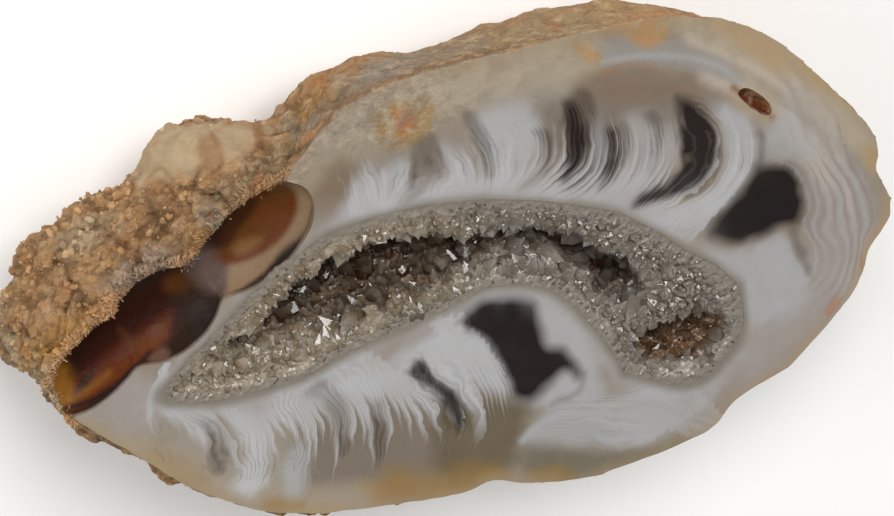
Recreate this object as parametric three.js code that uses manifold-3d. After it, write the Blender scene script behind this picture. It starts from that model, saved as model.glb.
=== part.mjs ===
// Half of a small agate geode: a nodule sawn through and polished, with a crescent hollow
// that is lined by one crust of quartz crystals. Millimetres, +Z up. The polished face is
// level on top and faces +Z, the rough rounded back is below and rests on a small broken
// flat at z = 0. +X runs along the long side of the face.
import * as THREE from "three";
import { mergeVertices } from "three/addons/utils/BufferGeometryUtils.js";
import Module from "manifold-3d";

const wasm = await Module();
wasm.setup();

// Driving dimensions of the nodule.
const FACE_Z = 18;
const BELLY_Z = 10.5;
const KEEL_Z = -0.35;
const AROUND = 168;
const LEFT_DENSITY = 0.05;
const FLANK_ROWS = 12;
const UNDERSIDE_ROWS = 26;
const BACK_SQUARENESS = 1.9;
const UNDERSIDE_EASE = 1.35;
const SHOULDER = { strength: 0.8, from: 0.2, to: 0.8 };
const CENTRE = new THREE.Vector2(0.2, -1);

// The sawn outline, counter-clockwise from the thin left tip.
const RIM = [
  [-34.2, 0.2], [-30.9, -3.9], [-28.8, -6.5], [-25.8, -10.0], [-20.3, -14.0],
  [-14.2, -16.2], [-8.8, -17.2], [-3.3, -18.0], [-1.3, -17.5], [1.0, -18.6],
  [7.0, -20.1], [11.5, -20.0], [16.4, -19.7], [19.1, -18.7], [19.8, -17.6],
  [21.5, -16.9], [25.7, -15.9], [28.2, -14.0], [31.8, -11.4], [33.1, -9.9],
  [33.8, -8.5], [34.1, -7.3], [35.1, -6.6], [36.3, -5.5], [36.8, -4.3],
  [36.6, -2.7], [35.7, -0.1], [36.3, 0.9], [36.2, 2.2], [35.6, 3.8],
  [34.5, 5.8], [32.2, 8.8], [29.5, 12.6], [26.4, 15.3], [22.8, 17.2], [17.8, 18.3],
  [11.0, 18.5], [3.5, 19.2], [-1.0, 19.2], [-7.0, 18.0], [-11.0, 15.3],
  [-14.2, 11.9], [-18.6, 8.2], [-23.0, 6.4], [-28.3, 4.2], [-32.6, 2.3],
];

// The widest outline of the rough back. It stands out past the face on the left.
const BELLY = [
  [-33.6, -2.6], [-30.2, -5.4], [-26.4, -9.2], [-20.6, -13.6], [-14.2, -16.4],
  [-8.0, -17.8], [-1.0, -19.0], [7.0, -20.9], [14.0, -20.8], [20.2, -18.6],
  [26.0, -16.2], [31.0, -12.6], [34.0, -8.4], [35.2, -3.4], [34.4, 1.6],
  [31.6, 7.4], [27.2, 12.2], [22.0, 15.4], [16.5, 17.0], [10.0, 17.6],
  [3.8, 17.7], [-2.0, 18.2], [-6.0, 18.0], [-9.6, 16.0], [-12.6, 15.0],
  [-17.2, 16.7], [-20.8, 16.7], [-23.6, 14.2], [-27.8, 12.2], [-31.4, 10.4],
  [-34.4, 7.4], [-35.8, 5.0], [-36.0, 2.6], [-35.2, 0.0],
];

// Lumps of the rough back: amplitude and size in millimetres.
const SWELL = { height: 0.9, size: 11 };
const NODULES = { height: 2.1, size: 4.6, seam: 0.55 };
const GRIT = { height: 0.3, size: 1.9, shift: 40 };
const KNOBBLY = { until: -18, smoothFrom: 6, least: 0.35 };
const CALM_BASE = 3;
const CALM_RIM = 2.5;
const ROUGH_TOP = FACE_Z - 0.2;

// The hollow in the agate: a crescent trough along a spine in the face. Each row of the
// list is x, y, half-width, depth.
const TROUGH = [
  [-26.2, -1.6, 1.4, 2.0], [-21.2, -0.7, 3.0, 4.6], [-15.9, 0.7, 4.5, 7.4],
  [-10.1, 2.8, 5.2, 9.2], [-4.3, 3.2, 5.0, 9.4], [1.9, 3.2, 3.8, 7.6],
  [7.1, 1.5, 3.5, 6.8], [11.0, -1.0, 4.2, 7.2], [14.3, -5.3, 5.0, 7.4],
  [17.0, -9.6, 6.4, 6.6], [17.9, -14.3, 4.6, 3.0],
];

// The open space inside the crystals: the long main hollow with the small middle one, and
// the short one at the right.
const MAIN_HOLLOW = [
  [-22.4, -0.2, 0.9, 1.2], [-18.5, 0.6, 1.9, 3.2], [-14.8, 1.4, 2.9, 5.4],
  [-10.0, 2.3, 3.9, 7.2], [-4.6, 2.5, 3.7, 7.2], [1.0, 2.6, 2.2, 5.0],
  [6.6, 1.7, 1.7, 3.8], [10.2, -0.9, 1.9, 3.8], [12.9, -4.0, 2.8, 5.2],
  [14.9, -6.6, 1.4, 2.6],
];
const SIDE_HOLLOW = [
  [12.2, -9.8, 1.2, 1.4], [14.6, -10.1, 2.4, 3.4], [17.2, -10.3, 2.9, 4.2],
  [19.6, -10.5, 2.6, 3.4], [21.3, -10.6, 1.2, 1.4],
];

// The quartz crust: its fit in the trough and its crystals.
const GAP = 0.3;
const CRUST_RECESS = 0.05;
const CRYSTAL_ROWS = { along: 24, across: 6, sideAlong: 6, sideAcross: 5 };
const CRYSTAL = { radius: 1.85, point: 1.3, root: 0.7 };
const CRYSTAL_SCATTER = { along: 0.7, across: 0.9, lean: 0.7, smallest: 0.65, largest: 1.1 };
const CRYSTAL_ROOM = { fullSizeFrom: 2.6, least: 0.55, aimDepth: 0.25 };
const MAIN_SEED = 11;
const SIDE_SEED = 51;
const TROUGH_FACETS = { around: 20, along: 24 };
const MAIN_FACETS = { around: 16, along: 22 };
const SIDE_FACETS = { around: 16, along: 12 };
const TOLERANCE = { stone: 0.22, crust: 0.09 };
const MERGE_DISTANCE = 1e-4;
const OUTLINE_SAMPLES = 1440;
const WIDE = 60;

// Shell-shaped chips along the left edge of the face: centre, half-axes along the edge,
// across it and down, and the turn of the edge from +X in degrees.
const CHIPS = [
  { at: [-30.6, 2.9, 19.6], half: [6.4, 3.3, 3.9], turn: 34 },
  { at: [-24.5, 5.7, 19.8], half: [5.9, 4.6, 4.5], turn: 30 },
  { at: [-16.7, 9.3, 19.7], half: [7.0, 4.1, 4.2], turn: 26 },
];
const RUSTY_PIT = { at: [26.3, 8.5, 18.1], half: [2.3, 0.62, 1.3], turn: -49 };
const CHIP_FACETS = { around: 22, down: 14 };

// A repeatable number from 0 to 1 for whole coordinates.
function hash(i, j, k) {
  let h = Math.imul(i, 374761393) + Math.imul(j, 668265263) + Math.imul(k, 2147483647);
  h = Math.imul(h ^ (h >>> 13), 1274126177);
  return ((h ^ (h >>> 16)) >>> 0) / 4294967296;
}

// Smooth noise from -1 to 1, with lattice points one unit apart.
function noise(x, y, z) {
  const cell = [x, y, z].map(Math.floor);
  const [fx, fy, fz] = [x, y, z].map((v, n) => THREE.MathUtils.smoothstep(v - cell[n], 0, 1));
  const corner = (a, b, c) => hash(cell[0] + a, cell[1] + b, cell[2] + c);
  const { lerp } = THREE.MathUtils;
  const layer = (c) =>
    lerp(
      lerp(corner(0, 0, c), corner(1, 0, c), fx),
      lerp(corner(0, 1, c), corner(1, 1, c), fx),
      fy,
    );
  return 2 * lerp(layer(0), layer(1), fz) - 1;
}

// Rounded lumps packed side by side: 1 on top of each lump, towards 0 in the seams.
function lumps(x, y, z) {
  const cell = [x, y, z].map(Math.floor);
  let nearest = Infinity;
  for (let i = cell[0] - 1; i <= cell[0] + 1; i++)
    for (let j = cell[1] - 1; j <= cell[1] + 1; j++)
      for (let k = cell[2] - 1; k <= cell[2] + 1; k++) {
        const dx = i + hash(i, j, k) - x;
        const dy = j + hash(j, k, i + 71) - y;
        const dz = k + hash(k, i, j + 137) - z;
        nearest = Math.min(nearest, dx * dx + dy * dy + dz * dz);
      }
  return Math.max(0, 1 - nearest);
}

// The manifold solid of a three.js geometry, and back again.
function solidOf(geometry, matrix = new THREE.Matrix4()) {
  const bare = geometry.clone().applyMatrix4(matrix);
  bare.deleteAttribute("normal");
  bare.deleteAttribute("uv");
  const merged = mergeVertices(bare, MERGE_DISTANCE);
  return new wasm.Manifold(
    new wasm.Mesh({
      numProp: 3,
      vertProperties: merged.attributes.position.array,
      triVerts: new Uint32Array(merged.index.array),
    }),
  );
}

function geometryOf(solid) {
  const mesh = solid.getMesh();
  return new THREE.BufferGeometry()
    .setAttribute("position", new THREE.BufferAttribute(mesh.vertProperties, mesh.numProp))
    .setIndex(new THREE.BufferAttribute(mesh.triVerts, 1));
}

// A closed outline as a smooth curve.
function outlineCurve(points) {
  return new THREE.CatmullRomCurve3(
    points.map(([x, y]) => new THREE.Vector3(x, y, 0)),
    true,
    "centripetal",
  );
}

// How far an outline lies from CENTRE, as a function of direction.
function reachOf(points) {
  const samples = outlineCurve(points)
    .getPoints(OUTLINE_SAMPLES)
    .map((p) => new THREE.Vector2(p.x, p.y).sub(CENTRE))
    .map((p) => ({ angle: Math.atan2(p.y, p.x), r: p.length() }))
    .sort((a, b) => a.angle - b.angle);
  return (angle) => {
    const after = samples.find((s) => s.angle >= angle) ?? samples[0];
    const before = samples[(samples.indexOf(after) + samples.length - 1) % samples.length];
    const span = THREE.MathUtils.euclideanModulo(after.angle - before.angle, 2 * Math.PI) || 1;
    const share = THREE.MathUtils.euclideanModulo(angle - before.angle, 2 * Math.PI) / span;
    return THREE.MathUtils.lerp(before.r, after.r, share);
  };
}

// AROUND directions to points along an outline that starts at the left, closest together there.
function directionsOf(points) {
  const curve = outlineCurve(points);
  return Array.from({ length: AROUND }, (_, i) => {
    const share = i / AROUND - LEFT_DENSITY * Math.sin((2 * Math.PI * i) / AROUND);
    const p = curve.getPointAt(THREE.MathUtils.euclideanModulo(share, 1));
    return Math.atan2(p.y - CENTRE.y, p.x - CENTRE.x);
  });
}

// How knobbly the back is: most at the left end, least on the smooth right.
function knobbliness(x) {
  const smooth = THREE.MathUtils.smoothstep(x, KNOBBLY.until, KNOBBLY.smoothFrom);
  return THREE.MathUtils.lerp(1, KNOBBLY.least, smooth);
}

// The nodule below the saw cut, as a lathe of unit rows whose points are then put in place.
function nodule() {
  const rows = [new THREE.Vector2(0, 0)];
  for (let i = 0; i <= FLANK_ROWS + UNDERSIDE_ROWS; i++) rows.push(new THREE.Vector2(1, -i));
  rows[rows.length - 1].x = 0;
  const lathe = new THREE.LatheGeometry(rows.reverse(), AROUND);
  const rim = reachOf(RIM);
  const belly = reachOf(BELLY);
  const directions = directionsOf(BELLY);
  const position = lathe.attributes.position;
  const place = new THREE.Vector3();
  for (let n = 0; n < position.count; n++) {
    const round = Math.floor(n / rows.length) % AROUND;
    const angle = directions[round];
    const row = Math.round(-position.getY(n));
    const onAxis = Math.hypot(position.getX(n), position.getZ(n)) < 0.5;
    let r = rim(angle);
    let z = FACE_Z;
    if (row > FLANK_ROWS) {
      const left = 1 - (row - FLANK_ROWS) / UNDERSIDE_ROWS;
      const fall = (1 - left ** UNDERSIDE_EASE) * (Math.PI / 2);
      r = belly(angle) * Math.cos(fall) ** (2 / BACK_SQUARENESS);
      z = BELLY_Z - (BELLY_Z - KEEL_Z) * Math.sin(fall) ** (2 / BACK_SQUARENESS);
    } else if (row > 0) {
      const share = row / FLANK_ROWS;
      const leftward = THREE.MathUtils.smoothstep(-Math.cos(angle), SHOULDER.from, SHOULDER.to);
      const shoulder = 1 + SHOULDER.strength * leftward;
      r += (belly(angle) - r) * Math.sin((share * Math.PI) / 2) ** shoulder;
      z = FACE_Z - (FACE_Z - BELLY_Z) * share;
    }
    if (onAxis) r = 0;
    place.set(CENTRE.x + r * Math.cos(angle), CENTRE.y + r * Math.sin(angle), z);
    position.setXYZ(n, place.x, place.y, place.z);
  }
  return lathe;
}

// Moves the points of the back in and out into swells, nodules and grit.
function roughen(geometry) {
  const bare = geometry.clone();
  bare.deleteAttribute("normal");
  bare.deleteAttribute("uv");
  const merged = mergeVertices(bare, MERGE_DISTANCE);
  merged.computeVertexNormals();
  const { position, normal } = merged.attributes;
  for (let n = 0; n < position.count; n++) {
    const p = new THREE.Vector3().fromBufferAttribute(position, n);
    if (p.z > FACE_Z - MERGE_DISTANCE) continue;
    const nearRim = THREE.MathUtils.smoothstep(FACE_Z - p.z, 0, CALM_RIM);
    const knobs = knobbliness(p.x);
    const swell = SWELL.height * noise(p.x / SWELL.size, p.y / SWELL.size, p.z / SWELL.size);
    const nodule = NODULES.height * knobs
      * (lumps(p.x / NODULES.size, p.y / NODULES.size, p.z / NODULES.size) - NODULES.seam);
    const grit = GRIT.height
      * noise(p.x / GRIT.size + GRIT.shift, p.y / GRIT.size, p.z / GRIT.size);
    const out = new THREE.Vector3().fromBufferAttribute(normal, n);
    const calm = THREE.MathUtils.smoothstep(p.z, 0, CALM_BASE);
    p.addScaledVector(out, (swell + nodule + grit) * nearRim * calm);
    position.setXYZ(n, p.x, p.y, Math.min(p.z, ROUGH_TOP));
  }
  return merged;
}

// Half-width, depth and place of a trough at a share of its length.
function troughAt(stations, share) {
  const line = (pick) => new THREE.CatmullRomCurve3(stations.map(pick), false, "centripetal");
  const spine = line(([x, y]) => new THREE.Vector3(x, y, 0));
  const sizes = stations.map(([, , w, h]) => [w, h]);
  const at = THREE.MathUtils.clamp(share, 0, 1) * (sizes.length - 1);
  const i = Math.min(Math.floor(at), sizes.length - 2);
  const f = THREE.MathUtils.smoothstep(at - i, 0, 1);
  return {
    spot: spine.getPoint(share),
    along: spine.getTangent(share),
    half: THREE.MathUtils.lerp(sizes[i][0], sizes[i + 1][0], f),
    depth: THREE.MathUtils.lerp(sizes[i][1], sizes[i + 1][1], f),
  };
}

// A point on a trough's wall. Turn is 0 at one lip and 180 at the other, through the floor.
function wallPoint(stations, share, turn, blunt, shrink) {
  const t = troughAt(stations, share);
  const across = new THREE.Vector3(-t.along.y, t.along.x, 0);
  return t.spot
    .clone()
    .setZ(FACE_Z)
    .addScaledVector(across, Math.cos(turn) * Math.max(t.half - shrink, 0.1) * blunt)
    .addScaledVector(new THREE.Vector3(0, 0, -1), Math.sin(turn) * Math.max(t.depth - shrink, 0.1) * blunt);
}

// A trough as a closed solid: a sphere bent along the spine, with rounded ends.
function trough(stations, facets, shrink = 0) {
  const sphere = new THREE.SphereGeometry(1, facets.around, facets.along);
  const position = sphere.attributes.position;
  for (let n = 0; n < position.count; n++) {
    const y = THREE.MathUtils.clamp(position.getY(n), -1, 1);
    const ring = Math.sqrt(1 - y * y);
    const blunt = 1 - (1 - ring) ** 3;
    const turn = Math.atan2(position.getZ(n), position.getX(n));
    const p = wallPoint(stations, (1 - y) / 2, turn, blunt, shrink);
    position.setXYZ(n, p.x, p.y, p.z);
  }
  const solid = solidOf(sphere);
  return solid.volume() > 0 ? solid : solidOf(turnedInsideOut(sphere));
}

function turnedInsideOut(geometry) {
  const made = geometry.clone();
  const index = made.index.array;
  for (let i = 0; i < index.length; i += 3) [index[i + 1], index[i + 2]] = [index[i + 2], index[i + 1]];
  return made;
}

function boxBetween(low, high) {
  const size = new THREE.Vector3().subVectors(high, low);
  const middle = new THREE.Vector3().addVectors(low, high).multiplyScalar(0.5);
  return solidOf(
    new THREE.BoxGeometry(size.x, size.y, size.z),
    new THREE.Matrix4().makeTranslation(middle.x, middle.y, middle.z),
  );
}

function ellipsoid({ at, half, turn }) {
  const matrix = new THREE.Matrix4().compose(
    new THREE.Vector3(...at),
    new THREE.Quaternion().setFromAxisAngle(new THREE.Vector3(0, 0, 1), THREE.MathUtils.degToRad(turn)),
    new THREE.Vector3(...half),
  );
  return solidOf(new THREE.SphereGeometry(1, CHIP_FACETS.around, CHIP_FACETS.down), matrix);
}

// One quartz point: a six-sided pyramid, rooted in the crust.
function crystal(root, axis, size, spin) {
  const { radius, point, root: depth } = CRYSTAL;
  const shape = new THREE.ConeGeometry(radius * size, (point + depth) * size, 6, 1);
  shape.translate(0, ((point - depth) / 2) * size, 0);
  const lean = new THREE.Quaternion().setFromUnitVectors(new THREE.Vector3(0, 1, 0), axis);
  const turn = new THREE.Quaternion().setFromAxisAngle(new THREE.Vector3(0, 1, 0), spin);
  return solidOf(
    shape,
    new THREE.Matrix4().compose(root, lean.multiply(turn), new THREE.Vector3(1, 1, 1)),
  );
}

// Crystals over the wall of one hollow, pointing at its open middle.
function crystalsOn(stations, along, across, seed) {
  const made = [];
  const { aimDepth, fullSizeFrom, least } = CRYSTAL_ROOM;
  const { smallest, largest, lean } = CRYSTAL_SCATTER;
  for (let i = 0; i < along; i++)
    for (let j = 0; j < across; j++) {
      const spread = (n) => hash(i, j, seed + n) - 0.5;
      const stagger = 0.25 + 0.5 * (j % 2);
      const share = (i + stagger + CRYSTAL_SCATTER.along * spread(0)) / along;
      const turn = ((j + 0.5 + CRYSTAL_SCATTER.across * spread(1)) / across) * Math.PI;
      const wall = wallPoint(stations, share, turn, 1, 0);
      const middle = troughAt(stations, share);
      const aim = middle.spot.clone().setZ(FACE_Z - middle.depth * aimDepth);
      const axis = aim.sub(wall).normalize();
      axis.x += lean * spread(2);
      axis.y += lean * spread(3);
      axis.normalize();
      const room = THREE.MathUtils.clamp(middle.half / fullSizeFrom, least, 1);
      const size = room * THREE.MathUtils.lerp(smallest, largest, hash(i, j, seed + 4));
      made.push(crystal(wall, axis, size, hash(i, j, seed + 5) * Math.PI));
    }
  return made;
}

// The largest shell of a solid: pockets sealed in between crystals are filled.
function outerShell(solid) {
  return solid.decompose().reduce((most, shell) => (shell.volume() > most.volume() ? shell : most));
}

// The agate half: nodule, cut flat below, with its trough, chips and pit.
function agateHalf() {
  const aboveBase = boxBetween(new THREE.Vector3(-WIDE, -WIDE, 0), new THREE.Vector3(WIDE, WIDE, WIDE));
  const body = solidOf(roughen(nodule())).simplify(TOLERANCE.stone).intersect(aboveBase);
  const cuts = [trough(TROUGH, TROUGH_FACETS), ...[...CHIPS, RUSTY_PIT].map(ellipsoid)];
  return body.subtract(wasm.Manifold.union(cuts));
}

// The crust: a liner in the trough with the hollows left open and the crystals grown on.
function quartzCrust() {
  const belowFace = boxBetween(
    new THREE.Vector3(-WIDE, -WIDE, 0),
    new THREE.Vector3(WIDE, WIDE, FACE_Z - CRUST_RECESS),
  );
  const room = trough(TROUGH, TROUGH_FACETS, GAP).intersect(belowFace);
  const c = CRYSTAL_ROWS;
  const points = [
    ...crystalsOn(MAIN_HOLLOW, c.along, c.across, MAIN_SEED),
    ...crystalsOn(SIDE_HOLLOW, c.sideAlong, c.sideAcross, SIDE_SEED),
  ];
  const lined = room
    .subtract(trough(MAIN_HOLLOW, MAIN_FACETS))
    .subtract(trough(SIDE_HOLLOW, SIDE_FACETS))
    .add(wasm.Manifold.union(points).intersect(room))
    .simplify(TOLERANCE.crust);
  return outerShell(lined);
}

function named(name, solid, colour, roughness) {
  const material = new THREE.MeshStandardMaterial({
    color: colour,
    roughness,
    metalness: 0,
    flatShading: true,
  });
  const mesh = new THREE.Mesh(geometryOf(solid), material);
  mesh.name = name;
  return mesh;
}

// The outlines above are drawn from one origin; the part stands with its base centred on zero.
const stone = agateHalf();
const { min, max } = stone.boundingBox();
const centred = [-(min[0] + max[0]) / 2, -(min[1] + max[1]) / 2, 0];

const geode = new THREE.Group();
geode.add(named("agate_half", stone.translate(centred), 0xb3aaa0, 0.35));
geode.add(named("quartz_crust", quartzCrust().translate(centred), 0xa59c8c, 0.15));

export default geode;
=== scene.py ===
"""Visual model of a polished agate geode half: stone, quartz crust, floor, light and camera."""

import math
from types import SimpleNamespace

import bmesh
import bpy
import numpy as np
from mathutils import Matrix, Vector
from mathutils.bvhtree import BVHTree
from mathutils.kdtree import KDTree


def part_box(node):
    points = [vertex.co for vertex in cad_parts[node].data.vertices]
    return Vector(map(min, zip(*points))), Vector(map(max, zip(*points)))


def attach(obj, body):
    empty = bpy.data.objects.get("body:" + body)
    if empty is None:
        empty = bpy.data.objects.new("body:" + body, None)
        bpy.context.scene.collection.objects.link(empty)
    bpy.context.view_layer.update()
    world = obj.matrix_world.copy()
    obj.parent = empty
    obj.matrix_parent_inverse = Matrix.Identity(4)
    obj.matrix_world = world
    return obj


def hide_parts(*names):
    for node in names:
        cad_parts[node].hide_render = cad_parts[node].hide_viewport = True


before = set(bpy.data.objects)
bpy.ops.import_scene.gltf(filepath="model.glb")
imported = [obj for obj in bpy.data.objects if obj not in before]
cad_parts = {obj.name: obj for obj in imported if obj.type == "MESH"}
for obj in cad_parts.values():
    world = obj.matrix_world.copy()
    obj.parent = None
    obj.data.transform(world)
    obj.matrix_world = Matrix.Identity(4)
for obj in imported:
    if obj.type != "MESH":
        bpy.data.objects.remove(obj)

bl_info = {
    "name": "Agate geode half",
    "version": (1, 0, 0),
    "blender": (4, 5, 0),
    "location": "3D View > Sidebar > Geode",
    "description": "Builds a polished agate geode half with a quartz-lined hollow",
    "category": "Object",
}

MM = 0.001
FAR = 1e6

# Sizes in millimetres, as in the solid: the level of the polished face, the lowest level of a
# chip, and the middle of the small hollow on the right.
FACE_Z = 18.0
CHIP_FLOOR = 13.5
THIRD_HOLLOW = (17.5, -8.9)

# How the stone's even mesh is parted again into face, trough, chips and rind. The face is what
# lies this close under its level and is this upright, the trough what lies this close to the
# crust, and a chip what lies this close to its ellipsoid, in shares of its size. The face's
# outline is taken from the rind between two levels.
FACE_SKIN = 0.35
UPRIGHT = 0.35
TROUGH_SKIN = 1.1
CHIP_SKIN = 0.09
RIM_LEVELS = (16.0, 17.7)
SHARP_EDGE = 42.0
RIND_MATERIAL = 2

# How the quartz crust meets the agate: its outer side is what lies this close to the stone. It
# is moved outwards, the lip sideways, so that no gap shows. The saw left a smooth border.
CRUST_MESH = 0.3
OUTER_SIDE = 0.5
OUTER_MOVE = 0.4
LIP_MOVE = 0.6
SMOOTH_BORDER = 0.4

# Where the quartz points grow: no nearer to the agate than the root gap, and down to these
# depths under the face on the lip, at the hollows' edge, and for the large ones. Every point
# stays under the face by the recess.
ROOT_GAP = 0.6
LIP_DEPTH = 0.2
EDGE_DEPTH = 1.5
LARGE_DEPTH = 9.0
RECESS = 0.02

# Where the grit sticks: on the rind between two levels, the slivers just outside the chips'
# ellipsoids, in shares of their size.
GRIT_LEVELS = (2.0, FACE_Z - 0.3)
FRINGE = (0.03, 0.2)

# The photograph's size, and the widest gap between two guide curves, in its pixels.
PICTURE = (894, 516)
WIDEST_GAP = 75

# The view of the photograph: a long lens over the face, rolled so that the long side rises to
# the right in the picture.
LENS_MM = 150.0
SENSOR_MM = 36.0
VIEW_DISTANCE = 298.0
VIEW_ROLL = 14.0
VIEW_TILT = 28.0
VIEW_SIDE = 50.0
VIEW_TARGET = (-1.204, 4.327, FACE_Z)

# The three shell-shaped chips of the upper left edge, as in the solid: centre and half-axes in
# millimetres, and the turn about Z in degrees.
CHIPS = (
    ((-30.454, 4.227, 19.6), (6.4, 3.3, 3.9), 34.0),
    ((-24.354, 7.027, 19.8), (5.9, 4.6, 4.5), 30.0),
    ((-16.554, 10.627, 19.7), (7.0, 4.1, 4.2), 26.0),
)

# Guide curves of the banding, read off the photograph in its pixels. Each list runs from one side of a sheaf
# to the other. A feather's curve runs away from the hollow, a ring's down the right side of the picture, and
# a band's of the lower lobe from left to right.
LOWER_FEATHERS = (
    "157,375 145,400 137,430",
    "167,385 165,407 180,427 195,462",
    "192,405 226,424 239,457 243,480 225,499",
    "243,405 264,432 267,465 259,486",
    "268,405 280,425 290,450",
    "300,402 310,425 311,452 304,479 289,499",
    "312,398 324,422 322,462",
    "322,396 338,417 339,440 335,477 326,496",
    "340,388 356,415 350,458",
    "357,386 371,415 375,445 371,470 356,479",
    "378,382 389,407 391,432 384,464",
    "394,384 410,410 412,440 402,469",
    "410,384 430,404 441,427 438,452 426,475",
    "452,352 472,376 484,402 486,432 472,458",
    "457,345 478,368 491,396 495,430 484,460",
    "468,342 486,360 499,388 505,420 498,452",
    "478,341 495,360 508,385 513,412",
    "487,343 503,364 517,390 521,408",
)
UPPER_FEATHERS = (
    "352,222 345,200 338,176 330,150",
    "375,214 377,190 366,170 362,156",
    "390,210 402,192 409,172 409,148",
    "455,204 466,182 461,159 440,139",
    "474,206 484,182 482,159 462,133",
    "486,206 498,178 494,151 478,122",
    "508,196 527,170 533,143 519,117",
    "516,200 543,166 547,139 535,113",
    "524,200 556,172 567,143 565,115 549,85",
    "530,204 567,180 586,156 587,133 577,105 560,78",
    "545,206 578,190 597,168 602,143 595,111 573,80",
    "560,208 588,195 608,172 614,143 603,117 591,86",
    "588,205 613,183 622,155 618,125 610,100",
    "606,206 631,178 639,145 630,110",
    "618,206 643,176 650,142 641,112",
    "632,204 658,172 665,138 654,106",
    "640,210 668,178 678,142 668,104",
    "648,214 684,203 710,184 722,157 717,129 698,112",
    "655,220 690,208 716,189 731,163 732,135 720,108 690,87",
    "690,222 730,195 747,168 747,142 736,119 706,89",
    "706,226 740,188 756,160 758,134 745,118",
)
RIGHT_RINGS = (
    "762,166 784,164 798,178 808,202 802,227 813,246 811,270 796,288",
    "784,150 805,161 817,185 821,210 817,232 829,248 827,272 808,295",
    "770,110 792,118 796,140 812,158 833,189 838,223 845,248 841,276 816,310",
    "769,72 797,100 815,125 822,148 843,178 855,215 857,246 848,285 824,322",
    "780,46 812,80 838,112 848,148 865,180 877,215 864,246 862,280 836,322",
)
LOBE_BANDS = (
    "521,446 551,442 584,446 618,451 642,446 660,436",
    "521,442 545,424 580,418 620,420 652,424 668,430",
    "523,436 540,413 570,403 600,402 640,402 662,412 676,424",
    "530,426 548,404 574,398 606,396 632,393 655,385 680,390 698,402",
    "545,404 566,396 604,392 634,386 654,375 674,373 694,384 712,402",
)

# Sheaves of feathers: guide curves, the way to run along each, strength, and first band number.
SHEAVES = ((LOWER_FEATHERS, 1, 1.0, 0), (UPPER_FEATHERS, 1, 0.92, 40), (LOBE_BANDS, -1, 0.5, 80))

# Outlines of the dark clear windows in the agate, in the photograph's pixels.
WINDOWS = (
    "457,322 470,309 489,300 531,299 541,325 548,346 565,350 577,367 579,377 565,371 548,386 529,400 "
    "514,394 502,367 487,342 468,332",
    "408,370 415,360 424,360 431,371 442,382 456,390 464,405 464,424 456,428 449,415 440,400 425,388 "
    "413,380",
    "757,166 770,166 788,168 798,178 803,200 797,222 779,226 762,236 736,243 718,240 708,230 728,204 "
    "742,190",
    "678,98 694,102 710,118 718,142 714,168 696,188 668,200 632,210 640,192 664,184 682,166 680,130",
    "609,130 616,134 620,156 614,174 598,190 604,172 609,152",
    "566,105 577,107 587,134 585,152 577,169 562,182 568,156 566,132",
)
FAINT_WINDOWS = (
    "410,140 430,132 441,140 444,162 440,178 427,192 414,204 398,208 402,196 410,180",
    "456,106 476,112 490,140 494,172 486,176 474,146",
    "576,90 590,90 597,104 594,124 586,110",
    "640,112 656,112 664,132 660,156 646,178 652,150 650,128",
    "622,120 630,130 630,154 618,178 624,150",
    "530,130 546,128 556,140 552,166 530,184 516,190 540,166 540,144",
    "756,130 764,132 764,168 752,180 756,156",
    "780,212 798,220 800,236 808,254 814,280 804,272 790,244",
    "300,396 316,380 334,384 346,404 350,440 342,458 334,430 322,404",
    "198,418 214,420 228,434 232,458 222,476 204,468 208,440",
    "372,400 384,402 388,440 378,470 372,440",
)

# Outlines of two patches: the smooth lump of the rind and the grey ledge of the face.
SMOOTH_LUMP = "137,190 138,152 160,130 200,121 240,124 270,128 250,152 220,166 190,174 160,184"
GREY_LEDGE = "596,44 640,40 690,44 724,58 744,84 700,73 650,64 612,60"
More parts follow.
